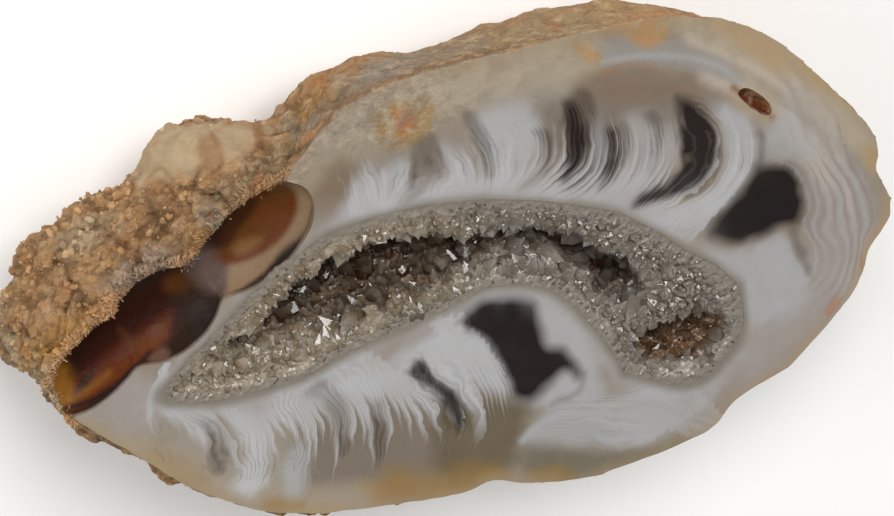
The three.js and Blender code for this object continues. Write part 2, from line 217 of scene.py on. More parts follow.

# Tones laid over each other: colour, strength, softness in pixels, outline in pixels. A stroke has its half
# width in pixels instead, and a curve.
FACE_TONES = (
    ("warm_grey", 0.9, 14, "290,190 340,130 420,76 520,48 600,30 600,84 540,96 470,112 430,128 380,150 "
     "330,168 310,205"),
    ("dull_brown", 0.8, 14, "302,205 330,165 360,168 352,205 335,232 305,236"),
    ("milk", 0.8, 10, "336,226 350,192 366,164 380,172 406,160 408,184 394,212 366,224"),
    ("milk", 0.75, 10, "440,206 448,176 440,144 456,148 472,164 484,186 486,206"),
    ("gap_brown", 0.6, 10, "524,84 552,92 566,120 560,168 520,196 540,150 536,112"),
    ("milk", 0.85, 13, "482,206 492,176 476,142 480,112 498,98 520,98 536,116 540,142 524,172 512,206"),
    ("gap_dark", 0.8, 8, "562,98 592,88 606,118 622,130 620,158 596,190 560,190 566,150"),
    ("milk", 0.5, 8, "586,74 600,88 608,120 602,170 588,190 594,150 592,118"),
    ("milk", 0.5, 16, "622,110 672,104 680,150 664,180 640,190 620,206 604,200 622,170"),
    ("milk", 0.8, 9, "700,90 730,100 754,124 756,160 742,190 716,218 680,226 644,222 690,206 716,188 "
     "726,152 716,118"),
    ("gap_brown", 0.7, 13, "570,84 600,76 690,84 720,100 700,112 664,128 632,112 612,130 590,118 572,104"),
    ("brown_veil", 0.75, 11, "580,72 640,64 690,70 738,84 748,104 690,100 600,104"),
    ("lilac", 0.95, 22, "780,130 846,160 880,220 860,300 800,350 750,390 690,385 744,330 760,262 "
     "812,250 812,180"),
    ("cream", 0.9, 14, "686,14 760,26 830,80 880,150 864,162 800,104 744,76 690,60"),
    ("pale_layer", 0.8, 8, "700,58 760,86 812,130 838,186 818,184 786,132 742,102 704,84"),
    ("ledge", 0.85, 6, GREY_LEDGE),
    ("cream", 0.5, 10, "430,90 500,70 560,60 596,66 560,84 500,96 440,110"),
    ("clear_light", 0.6, 10, "480,96 530,84 566,84 560,100 520,108 484,112"),
    ("cool_white", 0.7, 14, "764,100 790,110 812,140 808,160 784,160 762,164 764,130"),
    ("milk", 0.75, 12, "700,250 740,250 780,232 800,262 810,290 780,320 744,330 720,290"),
    ("milk", 0.85, 10, "392,354 440,326 478,298 530,290 568,312 592,346 602,384 596,404 560,410 500,396 "
     "470,380 440,362 410,368"),
    ("milk", 0.85, 9, "300,398 360,374 420,346 446,330 456,350 424,378 392,390 340,396"),
    ("clear_light", 0.7, 16, "165,420 230,420 300,430 300,480 230,495 180,460"),
    ("gap_brown", 0.6, 16, "300,410 440,400 450,470 380,486 300,480"),
    ("olive", 0.85, 14, "436,400 520,398 524,440 500,476 440,474"),
    ("beige", 0.7, 12, "62,404 150,436 215,470 300,488 372,484 380,516 255,516 150,470 95,440"),
    ("lilac", 0.8, 10, "58,400 118,372 156,384 150,428 100,428"),
    ("ochre", 0.35, 10, "150,446 190,460 212,480 190,490 148,466"),
    ("ochre", 0.65, 15, "368,484 400,468 440,474 480,464 500,474 470,494 410,504 376,506"),
    ("ochre", 0.6, 6, "262,500 285,496 305,504 290,514 266,514"),
    ("grey_green", 0.85, 10, "530,440 600,452 662,446 706,430 640,466 560,480 524,470"),
    ("ochre", 0.5, 6, "526,472 556,462 578,476 540,486"),
    ("cool_white", 0.85, 9, "522,442 548,410 584,396 636,388 690,374 716,396 664,438 600,446"),
    ("ochre", 0.75, 6, "374,118 392,104 424,98 434,112 428,134 400,148 380,144"),
    ("orange", 0.7, 5, "394,112 412,108 418,124 404,134 394,126"),
    ("bright_ochre", 0.7, 5, "576,18 620,12 664,14 666,36 644,48 620,32 586,30"),
    ("bright_ochre", 0.6, 4, "570,40 590,44 600,60 586,62"),
    ("tan", 0.6, 8, "700,14 744,20 800,60 830,84 800,84 740,48"),
    ("tan", 0.7, 4, "862,142 876,150 880,168 868,172"),
    ("tan", 0.7, 4, "872,238 892,214 892,230 876,250 862,262"),
    ("orange", 0.6, 3, "858,256 866,260 866,270 858,270"),
    ("orange", 0.6, 3, "824,312 834,298 842,300 830,316"),
    ("milk_bright", 0.8, 9, "228,412 252,412 266,440 268,480 250,496 232,488 246,456"),
    ("milk", 0.7, 8, "282,470 300,440 308,452 304,488 286,498"),
)
FACE_STROKES = (
    ("mauve_line", 0.5, 3.0, "596,402 640,388 664,374 690,378 708,394"),
    ("mauve_line", 0.35, 3.0, "560,398 600,412 650,404 676,412 690,426"),
    ("milk", 0.7, 3.5, "522,441 540,424 566,414 610,414"),
    ("comb_shadow", 0.45, 3.0, "586,372 578,392 552,404"),
    ("mauve_line", 0.5, 3.5, "752,120 762,140 762,160 768,168 790,164 808,178 816,200 816,224"),
    ("pale_layer", 0.55, 4.0, "690,40 760,72 812,112 838,160 852,210"),
    ("milk", 0.5, 3.0, "604,62 640,56 690,58 726,70 742,86"),
    ("orange", 0.2, 2.5, "604,74 630,64 652,66"),
    ("rust", 0.9, 3.5, "734,88 772,117"),
)
CHIP_TONES = (
    ("red_brown", 0.95, 9, "60,400 85,352 130,306 186,280 200,306 176,338 140,362 96,398 70,410"),
    # Chip A's upper side, under the rind's overhang, is painted darker: painted shade over the stone's own
    # dark red.
    ("shaded_deep_red", 0.9, 9, "52,385 90,330 140,292 200,262 206,284 170,312 120,342 84,376"),
    ("amber", 0.85, 7, "78,390 104,370 128,350 160,326 172,338 140,364 104,392 80,404"),
    ("yellow_amber", 0.75, 10, "44,378 56,362 72,372 74,400 60,410 48,398"),
    ("window", 0.7, 3, "72,398 78,382 92,370 90,384 78,400"),
    ("smoky", 0.95, 7, "168,296 200,282 224,300 218,322 192,346 164,366 156,356 172,330"),
    ("smoke_blue", 0.8, 7, "198,306 224,300 224,314 206,338 192,346 194,326"),
    ("umber", 0.7, 7, "164,278 180,270 196,278 186,290 168,292"),
    ("rosy", 0.5, 4, "150,356 164,348 170,360 158,374 148,372"),
    ("mauve", 0.85, 7, "182,258 214,246 232,262 232,290 210,292 188,276"),
    ("chip_beige", 0.95, 5, "224,294 234,256 262,206 286,176 310,176 324,198 318,226 292,254 252,284 "
     "228,304"),
    ("umber", 0.95, 5, "214,256 228,224 250,196 284,182 296,196 294,216 276,240 246,257 226,262"),
    ("amber", 0.5, 6, "250,212 270,198 289,200 290,214 280,234 262,248 240,254 240,240 252,226"),
    ("rust", 1.0, 3, "728,84 746,84 782,112 778,124 756,118 734,100"),
    ("khaki", 0.35, 5, "230,250 244,240 264,234 258,247 238,256"),
    # Chip C's upper left, under the rind's fringe, is painted darker: painted shade over the stone's own dark
    # red.
    ("shaded_deep_red", 0.7, 5, "206,250 228,220 246,200 258,202 246,218 226,246"),
    ("purple_edge", 0.9, 5, "268,268 286,246 306,232 314,212 318,226 300,252 276,270"),
)
CHIP_STROKES = (
    ("yellow_amber", 0.5, 4.0, "66,402 88,390 108,374"),
    ("umber", 0.5, 4.0, "120,330 134,344 150,334 170,318"),
    ("ring", 0.9, 4.5, "226,260 246,257 268,245 283,230 291,213 291,200"),
    ("purple_edge", 0.9, 2.5, "60,410 92,400 112,388 136,366 150,352"),
    ("purple_edge", 0.9, 3.0, "152,378 178,362 202,340 218,316 223,302"),
    ("purple_edge", 0.8, 2.5, "224,300 252,284 276,264 298,246 312,226 314,208"),
    # A small white crystal in the mauve patch, painted with its glint: a painted highlight.
    ("milk", 0.6, 3.0, "190,258 195,252"),
)
RIND_TONES = (
    ("buff", 0.8, 8, "4,300 16,344 44,368 62,404 30,390 2,350"),
    ("bright_ochre", 0.7, 9, "20,350 60,322 88,312 86,334 50,358 28,368"),
    ("buff", 0.6, 8, "46,246 90,210 110,215 100,240 62,262"),
    ("mauve_grey", 0.8, 8, "94,288 130,256 160,244 182,250 160,272 120,292"),
    ("buff", 0.75, 8, SMOOTH_LUMP),
    # Darker brown in the rind's folds: painted shade.
    ("fold_shade", 0.7, 4, "200,136 216,134 223,160 212,182 198,166"),
    ("fold_shade", 0.8, 3, "255,122 262,128 262,150 255,148"),
    ("fold_shade", 0.6, 5, "140,190 160,178 172,190 158,202"),
    ("grey_pebble", 0.85, 4, "193,216 205,202 221,205 223,226 205,229"),
    ("khaki", 0.6, 6, "180,244 200,228 216,226 204,250 186,258"),
    ("olive_brown", 0.75, 9, "196,206 250,164 300,138 334,128 332,152 290,168 250,192 220,218"),
    ("rosy_tan", 0.75, 6, "40,384 76,340 116,306 150,276 190,250 214,246 204,266 162,290 122,322 84,360 "
     "58,392"),
    ("rosy_tan", 0.7, 6, "220,240 240,214 270,192 300,182 300,196 262,204 232,230"),
    ("grey_beige", 0.9, 8, "268,132 320,92 380,58 440,44 560,12 604,18 540,48 440,80 360,104 310,134"),
    ("bright_ochre", 0.7, 6, "292,114 314,90 334,88 326,104 304,120"),
    ("tan", 0.7, 7, "480,36 560,10 640,0 600,30 520,52"),
    ("grey_pebble", 0.6, 5, "358,72 392,56 414,58 402,74 372,84"),
)
RIND_STROKES = (
    # Thin dark lines along the rind's folds: painted shade.
    ("fold_shade", 0.8, 2.5, "211,134 221,150 222,168"),
    ("fold_shade", 0.8, 2.5, "251,124 262,136 257,152"),
    ("fold_shade", 0.6, 3.0, "146,182 160,168 174,182"),
    ("fold_shade", 0.7, 4.0, "322,112 353,99 418,71 479,54 560,34"),
    ("rust", 1.0, 9.0, "737,92 772,118"),
    ("red_spot", 0.7, 4.0, "122,242 126,246"),
    ("red_spot", 0.6, 3.0, "66,286 72,292"),
)

# The line above which the face is dull and mottled, not polished.
FROST_EDGE = ("300,190 330,156 366,150 404,152 436,132 470,116 510,100 552,76 600,66 640,66 690,80 "
              "744,86")

# Colours as sRGB hex values, by the name of what shows them.
COLOUR = {
    "clear_grey": "#8b8072",
    "clear_light": "#9a9184",
    "warm_grey": "#9c8f7b",
    "dull_brown": "#76634d",
    "gap_brown": "#6c6053",
    "gap_dark": "#4a3e33",
    "brown_veil": "#7d6a57",
    "olive": "#61553f",
    "beige": "#a19481",
    "cream": "#a99b86",
    "pale_layer": "#b5aa9c",
    "lilac": "#9a918b",
    "cool_white": "#a3a2a1",
    "grey_green": "#6c6655",
    "window": "#130b08",
    "window_edge": "#2e2018",
    "milk": "#a9a9aa",
    "milk_warm": "#989087",
    "milk_bright": "#bbbbbd",
    "crust_edge": "#7f776c",
    "point_tip": "#efe8dc",
    "comb_shadow": "#6f665c",
    "quartz_depth": "#e2d6c6",
    "point_bright": "#dbcab1",
    "point_dull": "#a69170",
    "mauve_line": "#867a7a",
    "rim": "#a08a68",
    "ochre": "#93702f",
    "bright_ochre": "#ae8140",
    "tan": "#a4875c",
    "orange": "#a8622d",
    "rust": "#6a2c17",
    "ledge": "#8d8883",
    "smoky": "#291a11",
    "smoke_blue": "#2a211e",
    "red_brown": "#4e1d0a",
    # Dark red of the chips' upper sides: painted shade over the stone's own dark red.
    "shaded_deep_red": "#250c05",
    "amber": "#5e2d0b",
    "yellow_amber": "#8a5a1c",
    "umber": "#54300f",
    "rosy": "#7d5c4b",
    "mauve": "#5d4b43",
    "khaki": "#8d6c3e",
    "chip_beige": "#836b52",
    "ring": "#5c2b0a",
    "purple_edge": "#1d1417",
    "rind_brown": "#a88158",
    "rind_pale": "#bfa480",
    # Painted shade in the crevices between the rind's nodules.
    "crevice_shade": "#4f331b",
    "buff": "#a8987b",
    "mauve_grey": "#877869",
    # Painted shade in the rind's folds.
    "fold_shade": "#855f3c",
    "grey_pebble": "#948a7d",
    "olive_brown": "#7f6d52",
    "rosy_tan": "#aa8769",
    "grey_beige": "#8e7f69",
    "red_spot": "#8c4a2a",
    "quartz": "#a99b88",
    "quartz_cool": "#8d8984",
    "quartz_milk": "#8d7c63",
    # Brown deep in the quartz hollows: the quartz's own brown, darkened as painted shade.
    "hollow": "#4f3118",
    "hollow_orange": "#69482b",
    "floor": "#f6f5f3",
}

# The lamps: name, place and width in metres, and share of the key light's power.
LAMPS = (
    ("Key light", (0.02, 0.24, 0.36), 0.22, 1.0),
    ("Side light", (-0.32, 0.10, 0.24), 0.20, 0.5),
    ("Back light", (0.34, 0.16, 0.20), 0.16, 0.35),
)


def linear(code):
    """A hex sRGB colour as linear red, green and blue."""
    values = [int(code[i:i + 2], 16) / 255 for i in (1, 3, 5)]
    return tuple(v / 12.92 if v <= 0.04045 else ((v + 0.055) / 1.055) ** 2.4 for v in values)


def colour(name):
    """A named colour as a node's input takes it."""
    return (*linear(COLOUR[name]), 1.0)


def camera_axes():
    """Right, up and backward axes of the camera."""
    roll, tilt, side = (math.radians(v) for v in (VIEW_ROLL, VIEW_TILT, VIEW_SIDE))
    right = Vector((math.cos(roll), -math.sin(roll), 0))
    up = Vector((math.sin(roll), math.cos(roll), 0))
    lean = -math.cos(side) * right + math.sin(side) * up
    turn = Matrix.Rotation(tilt, 3, Vector((0, 0, 1)).cross(lean))
    return turn @ right, turn @ up, turn @ Vector((0, 0, 1))


def in_picture(points):
    """Places of points in millimetres, as pixels of the photograph."""
    right, up, back = (np.array(v) for v in camera_axes())
    ray = points - (np.array(VIEW_TARGET) + back * VIEW_DISTANCE)
    away = -(ray @ back) / (LENS_MM / SENSOR_MM * PICTURE[0])
    return np.column_stack([PICTURE[0] / 2 + ray @ right / away, PICTURE[1] / 2 - ray @ up / away])


# Repeatable noise over points in millimetres.

def scramble(cell, seed):
    """A number from 0 to 1 for each whole-number cell, mixed from its bits by large odd factors."""
    with np.errstate(over="ignore"):
        h = cell[..., 0].astype(np.uint32) * np.uint32(374761393)
        h += cell[..., 1].astype(np.uint32) * np.uint32(668265263)
        h += cell[..., 2].astype(np.uint32) * np.uint32(2246822519) + np.uint32(seed * 974711)
        h = (h ^ (h >> np.uint32(13))) * np.uint32(1274126177)
    return ((h ^ (h >> np.uint32(16))) & np.uint32(0xFFFFFF)) / float(0xFFFFFF)


def waves(points, size, seed):
    """Smooth noise from -1 to 1 with features about one size wide."""
    p = points / size
    low = np.floor(p).astype(np.int64)
    f = p - low
    f = f * f * (3 - 2 * f)
    total = np.zeros(len(p))
    for corner in np.ndindex(2, 2, 2):
        c = np.array(corner)
        weight = np.prod(np.where(c == 1, f, 1 - f), axis=1)
        total += weight * scramble(low + c, seed)
    return 2 * total - 1


def pebbles(points, size, seed):
    """Distance to the nearest and the second nearest scattered centre, in sizes."""
    p = points / size
    low = np.floor(p).astype(np.int64)
    first = np.full(len(p), FAR)
    second = np.full(len(p), FAR)
    for step in np.ndindex(3, 3, 3):
        cell = low + np.array(step) - 1
        centre = cell + np.stack([scramble(cell, seed + k) for k in range(3)], 1)
        d = np.linalg.norm(p - centre, axis=1)
        second = np.minimum(second, np.maximum(first, d))
        first = np.minimum(first, d)
    return first, second


def fade(x, low, high):
    """0 below the low value, 1 above the high one, and a smooth step between them."""
    t = np.clip((x - low) / (high - low), 0, 1)
    return t * t * (3 - 2 * t)


# Guide curves.

def pixels(places):
    """Places in the photograph, written as x,y pairs of pixels, as an array."""
    return np.array([place.split(",") for place in places.split()], float)


def smooth_curve(points, steps=8):
    """A Catmull-Rom curve through the points."""
    p = np.vstack([2 * points[0] - points[1], points, 2 * points[-1] - points[-2]])
    t = np.linspace(0, 1, steps, endpoint=False)[:, None]
    parts = []
    for i in range(1, len(p) - 2):
        a, b, c, d = p[i - 1:i + 3]
        parts.append(0.5 * (2 * b + (c - a) * t + (2 * a - 5 * b + 4 * c - d) * t * t
                            + (3 * b - a - 3 * c + d) * t ** 3))
    return np.vstack([*parts, points[-1:]])


def beside(curve, points):
    """Signed distance from a curve, positive to its right in the picture, and the share along."""
    start, run = curve[:-1], np.diff(curve, axis=0)
    length = np.linalg.norm(run, axis=1)
    gone = np.concatenate([[0], np.cumsum(length)])
    best = np.full(len(points), FAR)
    signed = np.zeros(len(points))
    share = np.zeros(len(points))
    for s, r, n, before in zip(start, run, length, gone):
        rel = points - s
        t = np.clip((rel @ r) / (n * n), 0, 1)
        off = rel - t[:, None] * r
        d = np.linalg.norm(off, axis=1)
        near = d < best
        best[near] = d[near]
        side = np.sign(r[0] * rel[:, 1] - r[1] * rel[:, 0])
        signed[near] = (d * side)[near]
        share[near] = (before + t * n)[near] / gone[-1]
    return signed, share


def sheaf(guides, px):
    """Band number, share along and gap in pixels of a sheaf of feathers at each point."""
    found = [beside(smooth_curve(g), px) for g in guides]
    signed = np.array([f[0] for f in found])
    share = np.array([f[1] for f in found])
    if np.mean(signed[0]) < np.mean(signed[-1]):
        signed = -signed
    gap = np.full(len(px), FAR)
    band = np.zeros(len(px))
    along = np.ones(len(px))
    for i in range(len(guides) - 1):
        inside = (signed[i] >= 0) & (signed[i + 1] <= 0)
        width = signed[i] - signed[i + 1]
        take = inside & (width < gap)
        gap[take] = width[take]
        mix = signed[i][take] / np.maximum(width[take], 1e-6)
        band[take] = i + mix
        along[take] = share[i][take] * (1 - mix) + share[i + 1][take] * mix
    return band, along, gap


def inside_of(outline, px):
    """Signed distance to a closed outline in pixels, positive inside."""
    loop = pixels(outline)
    closed = smooth_curve(np.vstack([loop, loop[:1]]), 4)
    best = np.full(len(px), FAR)
    odd = np.zeros(len(px), bool)
    for a, b in zip(closed[:-1], closed[1:]):
        r = b - a
        rel = px - a
        t = np.clip((rel @ r) / max(r @ r, 1e-12), 0, 1)
        best = np.minimum(best, np.linalg.norm(rel - t[:, None] * r, axis=1))
        if a[1] != b[1]:
            cross = (a[1] > px[:, 1]) != (b[1] > px[:, 1])
            odd ^= cross & (px[:, 0] < r[0] * (px[:, 1] - a[1]) / r[1] + a[0])
    return np.where(odd, best, -best)


def painted(px, ground, tones, strokes=(), ragged=0.0):
    """Colours at each point: every tone and stroke laid softly over the ones before it."""
    shade = np.tile(linear(COLOUR[ground]), (len(px), 1)).astype(float)
    for name, strength, soft, outline in tones:
        cover = strength * fade(inside_of(outline, px) + ragged * soft, -soft, soft)
        shade += cover[:, None] * (np.array(linear(COLOUR[name])) - shade)
    for name, strength, half_width, curve in strokes:
        off = np.abs(beside(smooth_curve(pixels(curve)), px)[0]) / half_width
        cover = strength * np.exp(-off ** 2)
        shade += cover[:, None] * (np.array(linear(COLOUR[name])) - shade)
    return shade


# Meshes.

def linked(name, data):
    """A new object in the scene that holds the data."""
    obj = bpy.data.objects.new(name, data)
    bpy.context.collection.objects.link(obj)
    return obj


def deselect():
    """Leaves edit mode with nothing selected."""
    if bpy.context.object and bpy.context.object.mode != "OBJECT":
        bpy.ops.object.mode_set(mode="OBJECT")
    bpy.ops.object.select_all(action="DESELECT")


def select_only(obj):
    """Selects one object and makes it the active one."""
    deselect()
    obj.select_set(True)
    bpy.context.view_layer.objects.active = obj


def solid_copy(node, name):
    """A merged copy of a CAD node's mesh as a new selected object at the origin."""
    source = bpy.data.objects[node]
    mesh = source.data.copy()
    mesh.transform(source.matrix_world)
    mesh.materials.clear()
    obj = linked(name, mesh)
    select_only(obj)
    bpy.ops.object.mode_set(mode="EDIT")
    bpy.ops.mesh.select_all(action="SELECT")
    bpy.ops.mesh.remove_doubles(threshold=1e-6)
    bpy.ops.mesh.normals_make_consistent(inside=False)
    bpy.ops.object.mode_set(mode="OBJECT")
    return obj


def remesh(obj, voxel_mm):
    """Even, closed mesh of small quads in place of the object's faces."""
    mod = obj.modifiers.new("Even mesh", "REMESH")
    mod.mode = "VOXEL"
    mod.voxel_size = voxel_mm * MM
    mod.adaptivity = 0
    bpy.ops.object.modifier_apply(modifier=mod.name)


def join_to(obj, other):
    """Makes another object's mesh part of this one's."""
    select_only(obj)
    other.select_set(True)
    bpy.ops.object.join()


def read(items, name, width, kind=float):
    """One property of all a mesh's items as an array with a row for each."""
    values = np.empty(len(items) * width, kind)
    items.foreach_get(name, values)
    return values.reshape(-1, width) if width > 1 else values


def points_of(obj):
    """Vertices of a mesh in millimetres."""
    return read(obj.data.vertices, "co", 3) / MM


def normals_of(obj):
    """Normals at the vertices of a mesh."""
    return read(obj.data.vertices, "normal", 3)


def face_corners(obj):
    """Vertex of every face corner, where each face's corners start, and how many it has."""
    faces = obj.data.polygons
    return (read(obj.data.loops, "vertex_index", 1, int), read(faces, "loop_start", 1, int),
            read(faces, "loop_total", 1, int))


def move_to(obj, points):
    """Moves the vertices of a mesh to points in millimetres."""
    obj.data.vertices.foreach_set("co", (points * MM).ravel())
    obj.data.update()


def move_in_box(obj, points):
    """Moves the vertices to the points, none past the box of the agate's solid."""
    low, high = (np.array(corner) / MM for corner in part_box("agate_half"))
    move_to(obj, np.clip(points, low, high))


def write(obj, **fields):
    """Writes numbers per vertex as named attributes."""
    for name, values in fields.items():
        layer = obj.data.attributes.new(name, "FLOAT", "POINT")
        layer.data.foreach_set("value", np.asarray(values, np.float32))


def write_shade(obj, shade):
    """Writes linear colours per vertex."""
    layer = obj.data.attributes.new("shade", "FLOAT_COLOR", "POINT")
    opaque = np.column_stack([shade, np.ones(len(shade))])
    layer.data.foreach_set("color", opaque.astype(np.float32).ravel())


def unit(vectors, least=1e-6):
    """The vectors at length 1. One shorter than the least keeps its share of it."""
    return vectors / np.maximum(np.linalg.norm(vectors, axis=1), least)[:, None]


def gap_to(node, points):
    """Distance in millimetres from each point to the surface of a CAD node."""
    source = bpy.data.objects[node]
    tree = BVHTree.FromPolygons([source.matrix_world @ v.co for v in source.data.vertices],
                                [tuple(f.vertices) for f in source.data.polygons])
    return np.array([tree.find_nearest(Vector(p * MM))[3] / MM for p in points])


def distance_to(points, targets, reach):
    """Distance from each point to the nearest target, at most reach."""
    tree = KDTree(len(targets))
    for i, t in enumerate(targets):
        tree.insert(t, i)
    tree.balance()
    return np.array([min(tree.find(p)[2], reach) for p in points])


def meeting_line(obj, inside):
    """Vertices marked inside that share a face with unmarked ones."""
    corners, starts, sides = face_corners(obj)
    marked = inside[corners]
    mixed = np.maximum.reduceat(marked, starts) & ~np.minimum.reduceat(marked, starts)
    line = np.zeros(len(inside), bool)
    line[corners[np.repeat(mixed, sides) & marked]] = True
    return line


def even_out(obj, points, line, rounds=5):
    """Smooths a line of vertices where two surfaces meet."""
    a, b = read(obj.data.edges, "vertices", 2, int).T
    both = line[a] & line[b]
    a, b = a[both], b[both]
    count = np.bincount(np.concatenate([a, b]), minlength=len(points))
    paired = count > 1
    for _ in range(rounds):
        total = np.zeros_like(points)
        np.add.at(total, a, points[b])
        np.add.at(total, b, points[a])
        points[paired] = (points[paired] + total[paired] / count[paired][:, None]) / 2
    return points


def chip_fields(points):
    """Size of each chip's ellipsoid through each point, and each point carried onto it."""
    sizes, carried = [], []
    for centre, half, turn in CHIPS:
        a = math.radians(turn)
        axes = np.array([[math.cos(a), math.sin(a), 0], [-math.sin(a), math.cos(a), 0], [0, 0, 1]])
        local = (points - np.array(centre)) @ axes.T / np.array(half)
        size = np.linalg.norm(local, axis=1)
        sizes.append(size)
        carried.append((local / size[:, None] * np.array(half)) @ axes + np.array(centre))
    return np.array(sizes), np.array(carried)


def turned(axis, spin):
    """Rotation that takes +Z to the axis after a spin about it."""
    return Vector(axis).to_track_quat("Z", "Y").to_matrix() @ Matrix.Rotation(spin, 3, "Z")


def template(make):
    """Corners and faces of a small solid that the given operator call makes."""
    deselect()
    make()
    obj = bpy.context.object
    bpy.ops.object.transform_apply(location=True, rotation=True, scale=True)
    corners = read(obj.data.vertices, "co", 3)
    faces = [tuple(f.vertices) for f in obj.data.polygons]
    data = obj.data
    bpy.data.objects.remove(obj)
    bpy.data.meshes.remove(data)
    return corners, faces


def copies(shape, places, axes, sizes, rng, name):
    """One joined object of many copies of a small solid, each turned to its axis and scaled."""
    corners, faces = shape
    made, built = [], []
    for i, (place, axis, size) in enumerate(zip(places, axes, sizes)):
        turn = np.array(turned(axis, rng.random() * 2 * math.pi))
        placed = (corners * size) @ turn.T + place
        placed[:, 2] += min(0, FACE_Z - RECESS - placed[:, 2].max())
        made.append(placed)
        built.extend(tuple(k + len(corners) * i for k in f) for f in faces)
    mesh = bpy.data.meshes.new(name)
    mesh.from_pydata((np.vstack(made) * MM).tolist(), [], built)
    return linked(name, mesh)


# Materials. A MapRange node takes a pattern, the range it comes from and the range it is carried
# to. A MULTIPLY_ADD node takes a value, a factor and what is added. A relief is a height and its
# depth in millimetres. A Mix node's colours have these inputs and this output.
MIX_AMOUNT, MIX_UNDER, MIX_OVER = 0, 6, 7
MIX_RESULT = 2

# The fields that both quartz materials read.
QUARTZ_FIELDS = ("cool", "tip", "border", "depth", "warm")


def add(tree, kind, inputs=(), **settings):
    """Adds a node with its settings; each input is a value, or a node or socket to link."""
    node = tree.nodes.new("ShaderNode" + kind)
    for name, value in settings.items():
        setattr(node, name, value)
    for key, value in (inputs.items() if isinstance(inputs, dict) else enumerate(inputs)):
        if isinstance(value, bpy.types.Node):
            value = value.outputs[0]
        if isinstance(value, bpy.types.NodeSocket):
            tree.links.new(value, node.inputs[key])
        else:
            node.inputs[key].default_value = value
    return node


def begun(name, fields=(), **grains):
    """A new material with its fields, and its noises by size in millimetres, detail and roughness."""
    mat = bpy.data.materials.new(name)
    mat.use_nodes = True
    t = mat.node_tree
    t.nodes.clear()
    place = add(t, "TexCoord").outputs["Object"]
    paint = add(t, "Attribute", attribute_name="shade").outputs["Color"]
    made = {field: add(t, "Attribute", attribute_name=field).outputs["Fac"] for field in fields}
    for grain, (size, detail, roughness) in grains.items():
        made[grain] = add(t, "TexNoise", {"Vector": place, "Scale": 1 / (size * MM), "Detail": detail,
                                          "Roughness": roughness})
    return mat, t, SimpleNamespace(place=place, paint=paint, **made)


def coats(t, ground, *layers):
    """Coats over a ground colour: how much of each shows, its tone, and its blend if not plain."""
    for amount, tone, *way in layers:
        tone = colour(tone) if isinstance(tone, str) else tone
        mix = add(t, "Mix", {MIX_AMOUNT: amount, MIX_UNDER: ground, MIX_OVER: tone}, data_type="RGBA",
                  blend_type=way[0] if way else "MIX")
        ground = mix.outputs[MIX_RESULT]
    return ground


def finish(t, inputs, relief=(), **inside):
    """The surface of a material with its relief and, for a clear one, the volume inside it."""
    if relief:
        height, depth = relief
        inputs = {**inputs, "Normal": add(t, "Bump", {"Height": height, "Distance": depth * MM})}
    add(t, "OutputMaterial", {"Surface": add(t, "BsdfPrincipled", inputs), **inside})


def partly(t, field, pattern, *ranges):
    """A field where a pattern, carried from one range to another, lets it show."""
    return add(t, "Math", (field, add(t, "MapRange", (pattern, *ranges))), operation="MULTIPLY")


def ripple(t, phase, lines):
    """Fine lines across a phase, from -1 to 1, so many to a band."""
    turns = add(t, "Math", (phase, 2 * math.pi * lines), operation="MULTIPLY")
    return add(t, "Math", (turns,), operation="SINE")


def strands(t, phase, along):
    """Milky strands across a phase: each has its own length, a crisp side, and narrows to its tip."""
    number = add(t, "Math", (phase,), operation="FLOOR")
    own = add(t, "TexWhiteNoise", {"W": number}, noise_dimensions="1D")
    length = add(t, "Math", (own, 0.38, 0.62), operation="MULTIPLY_ADD")
    left = add(t, "Math", (length, along), operation="SUBTRACT")
    across = add(t, "Math", (phase,), operation="FRACT")
    width = add(t, "Math", (left, 2.3, across), operation="MULTIPLY_ADD")
    body = add(t, "Math", (width, 1.7, -1.7), operation="MULTIPLY_ADD", use_clamp=True)
    tip = add(t, "Math", (left, 5.0), operation="MULTIPLY", use_clamp=True)
    side = add(t, "MapRange", (across, 0.84, 1.0, 0.0, 0.8))
    crisp = add(t, "Math", (side, tip), operation="MULTIPLY")
    body = add(t, "Math", (body, crisp), operation="MAXIMUM")
    hairs = add(t, "Math", (ripple(t, phase, 3), 0.2, 0.8), operation="MULTIPLY_ADD")
    return add(t, "Math", (body, hairs), operation="MULTIPLY", use_clamp=True)


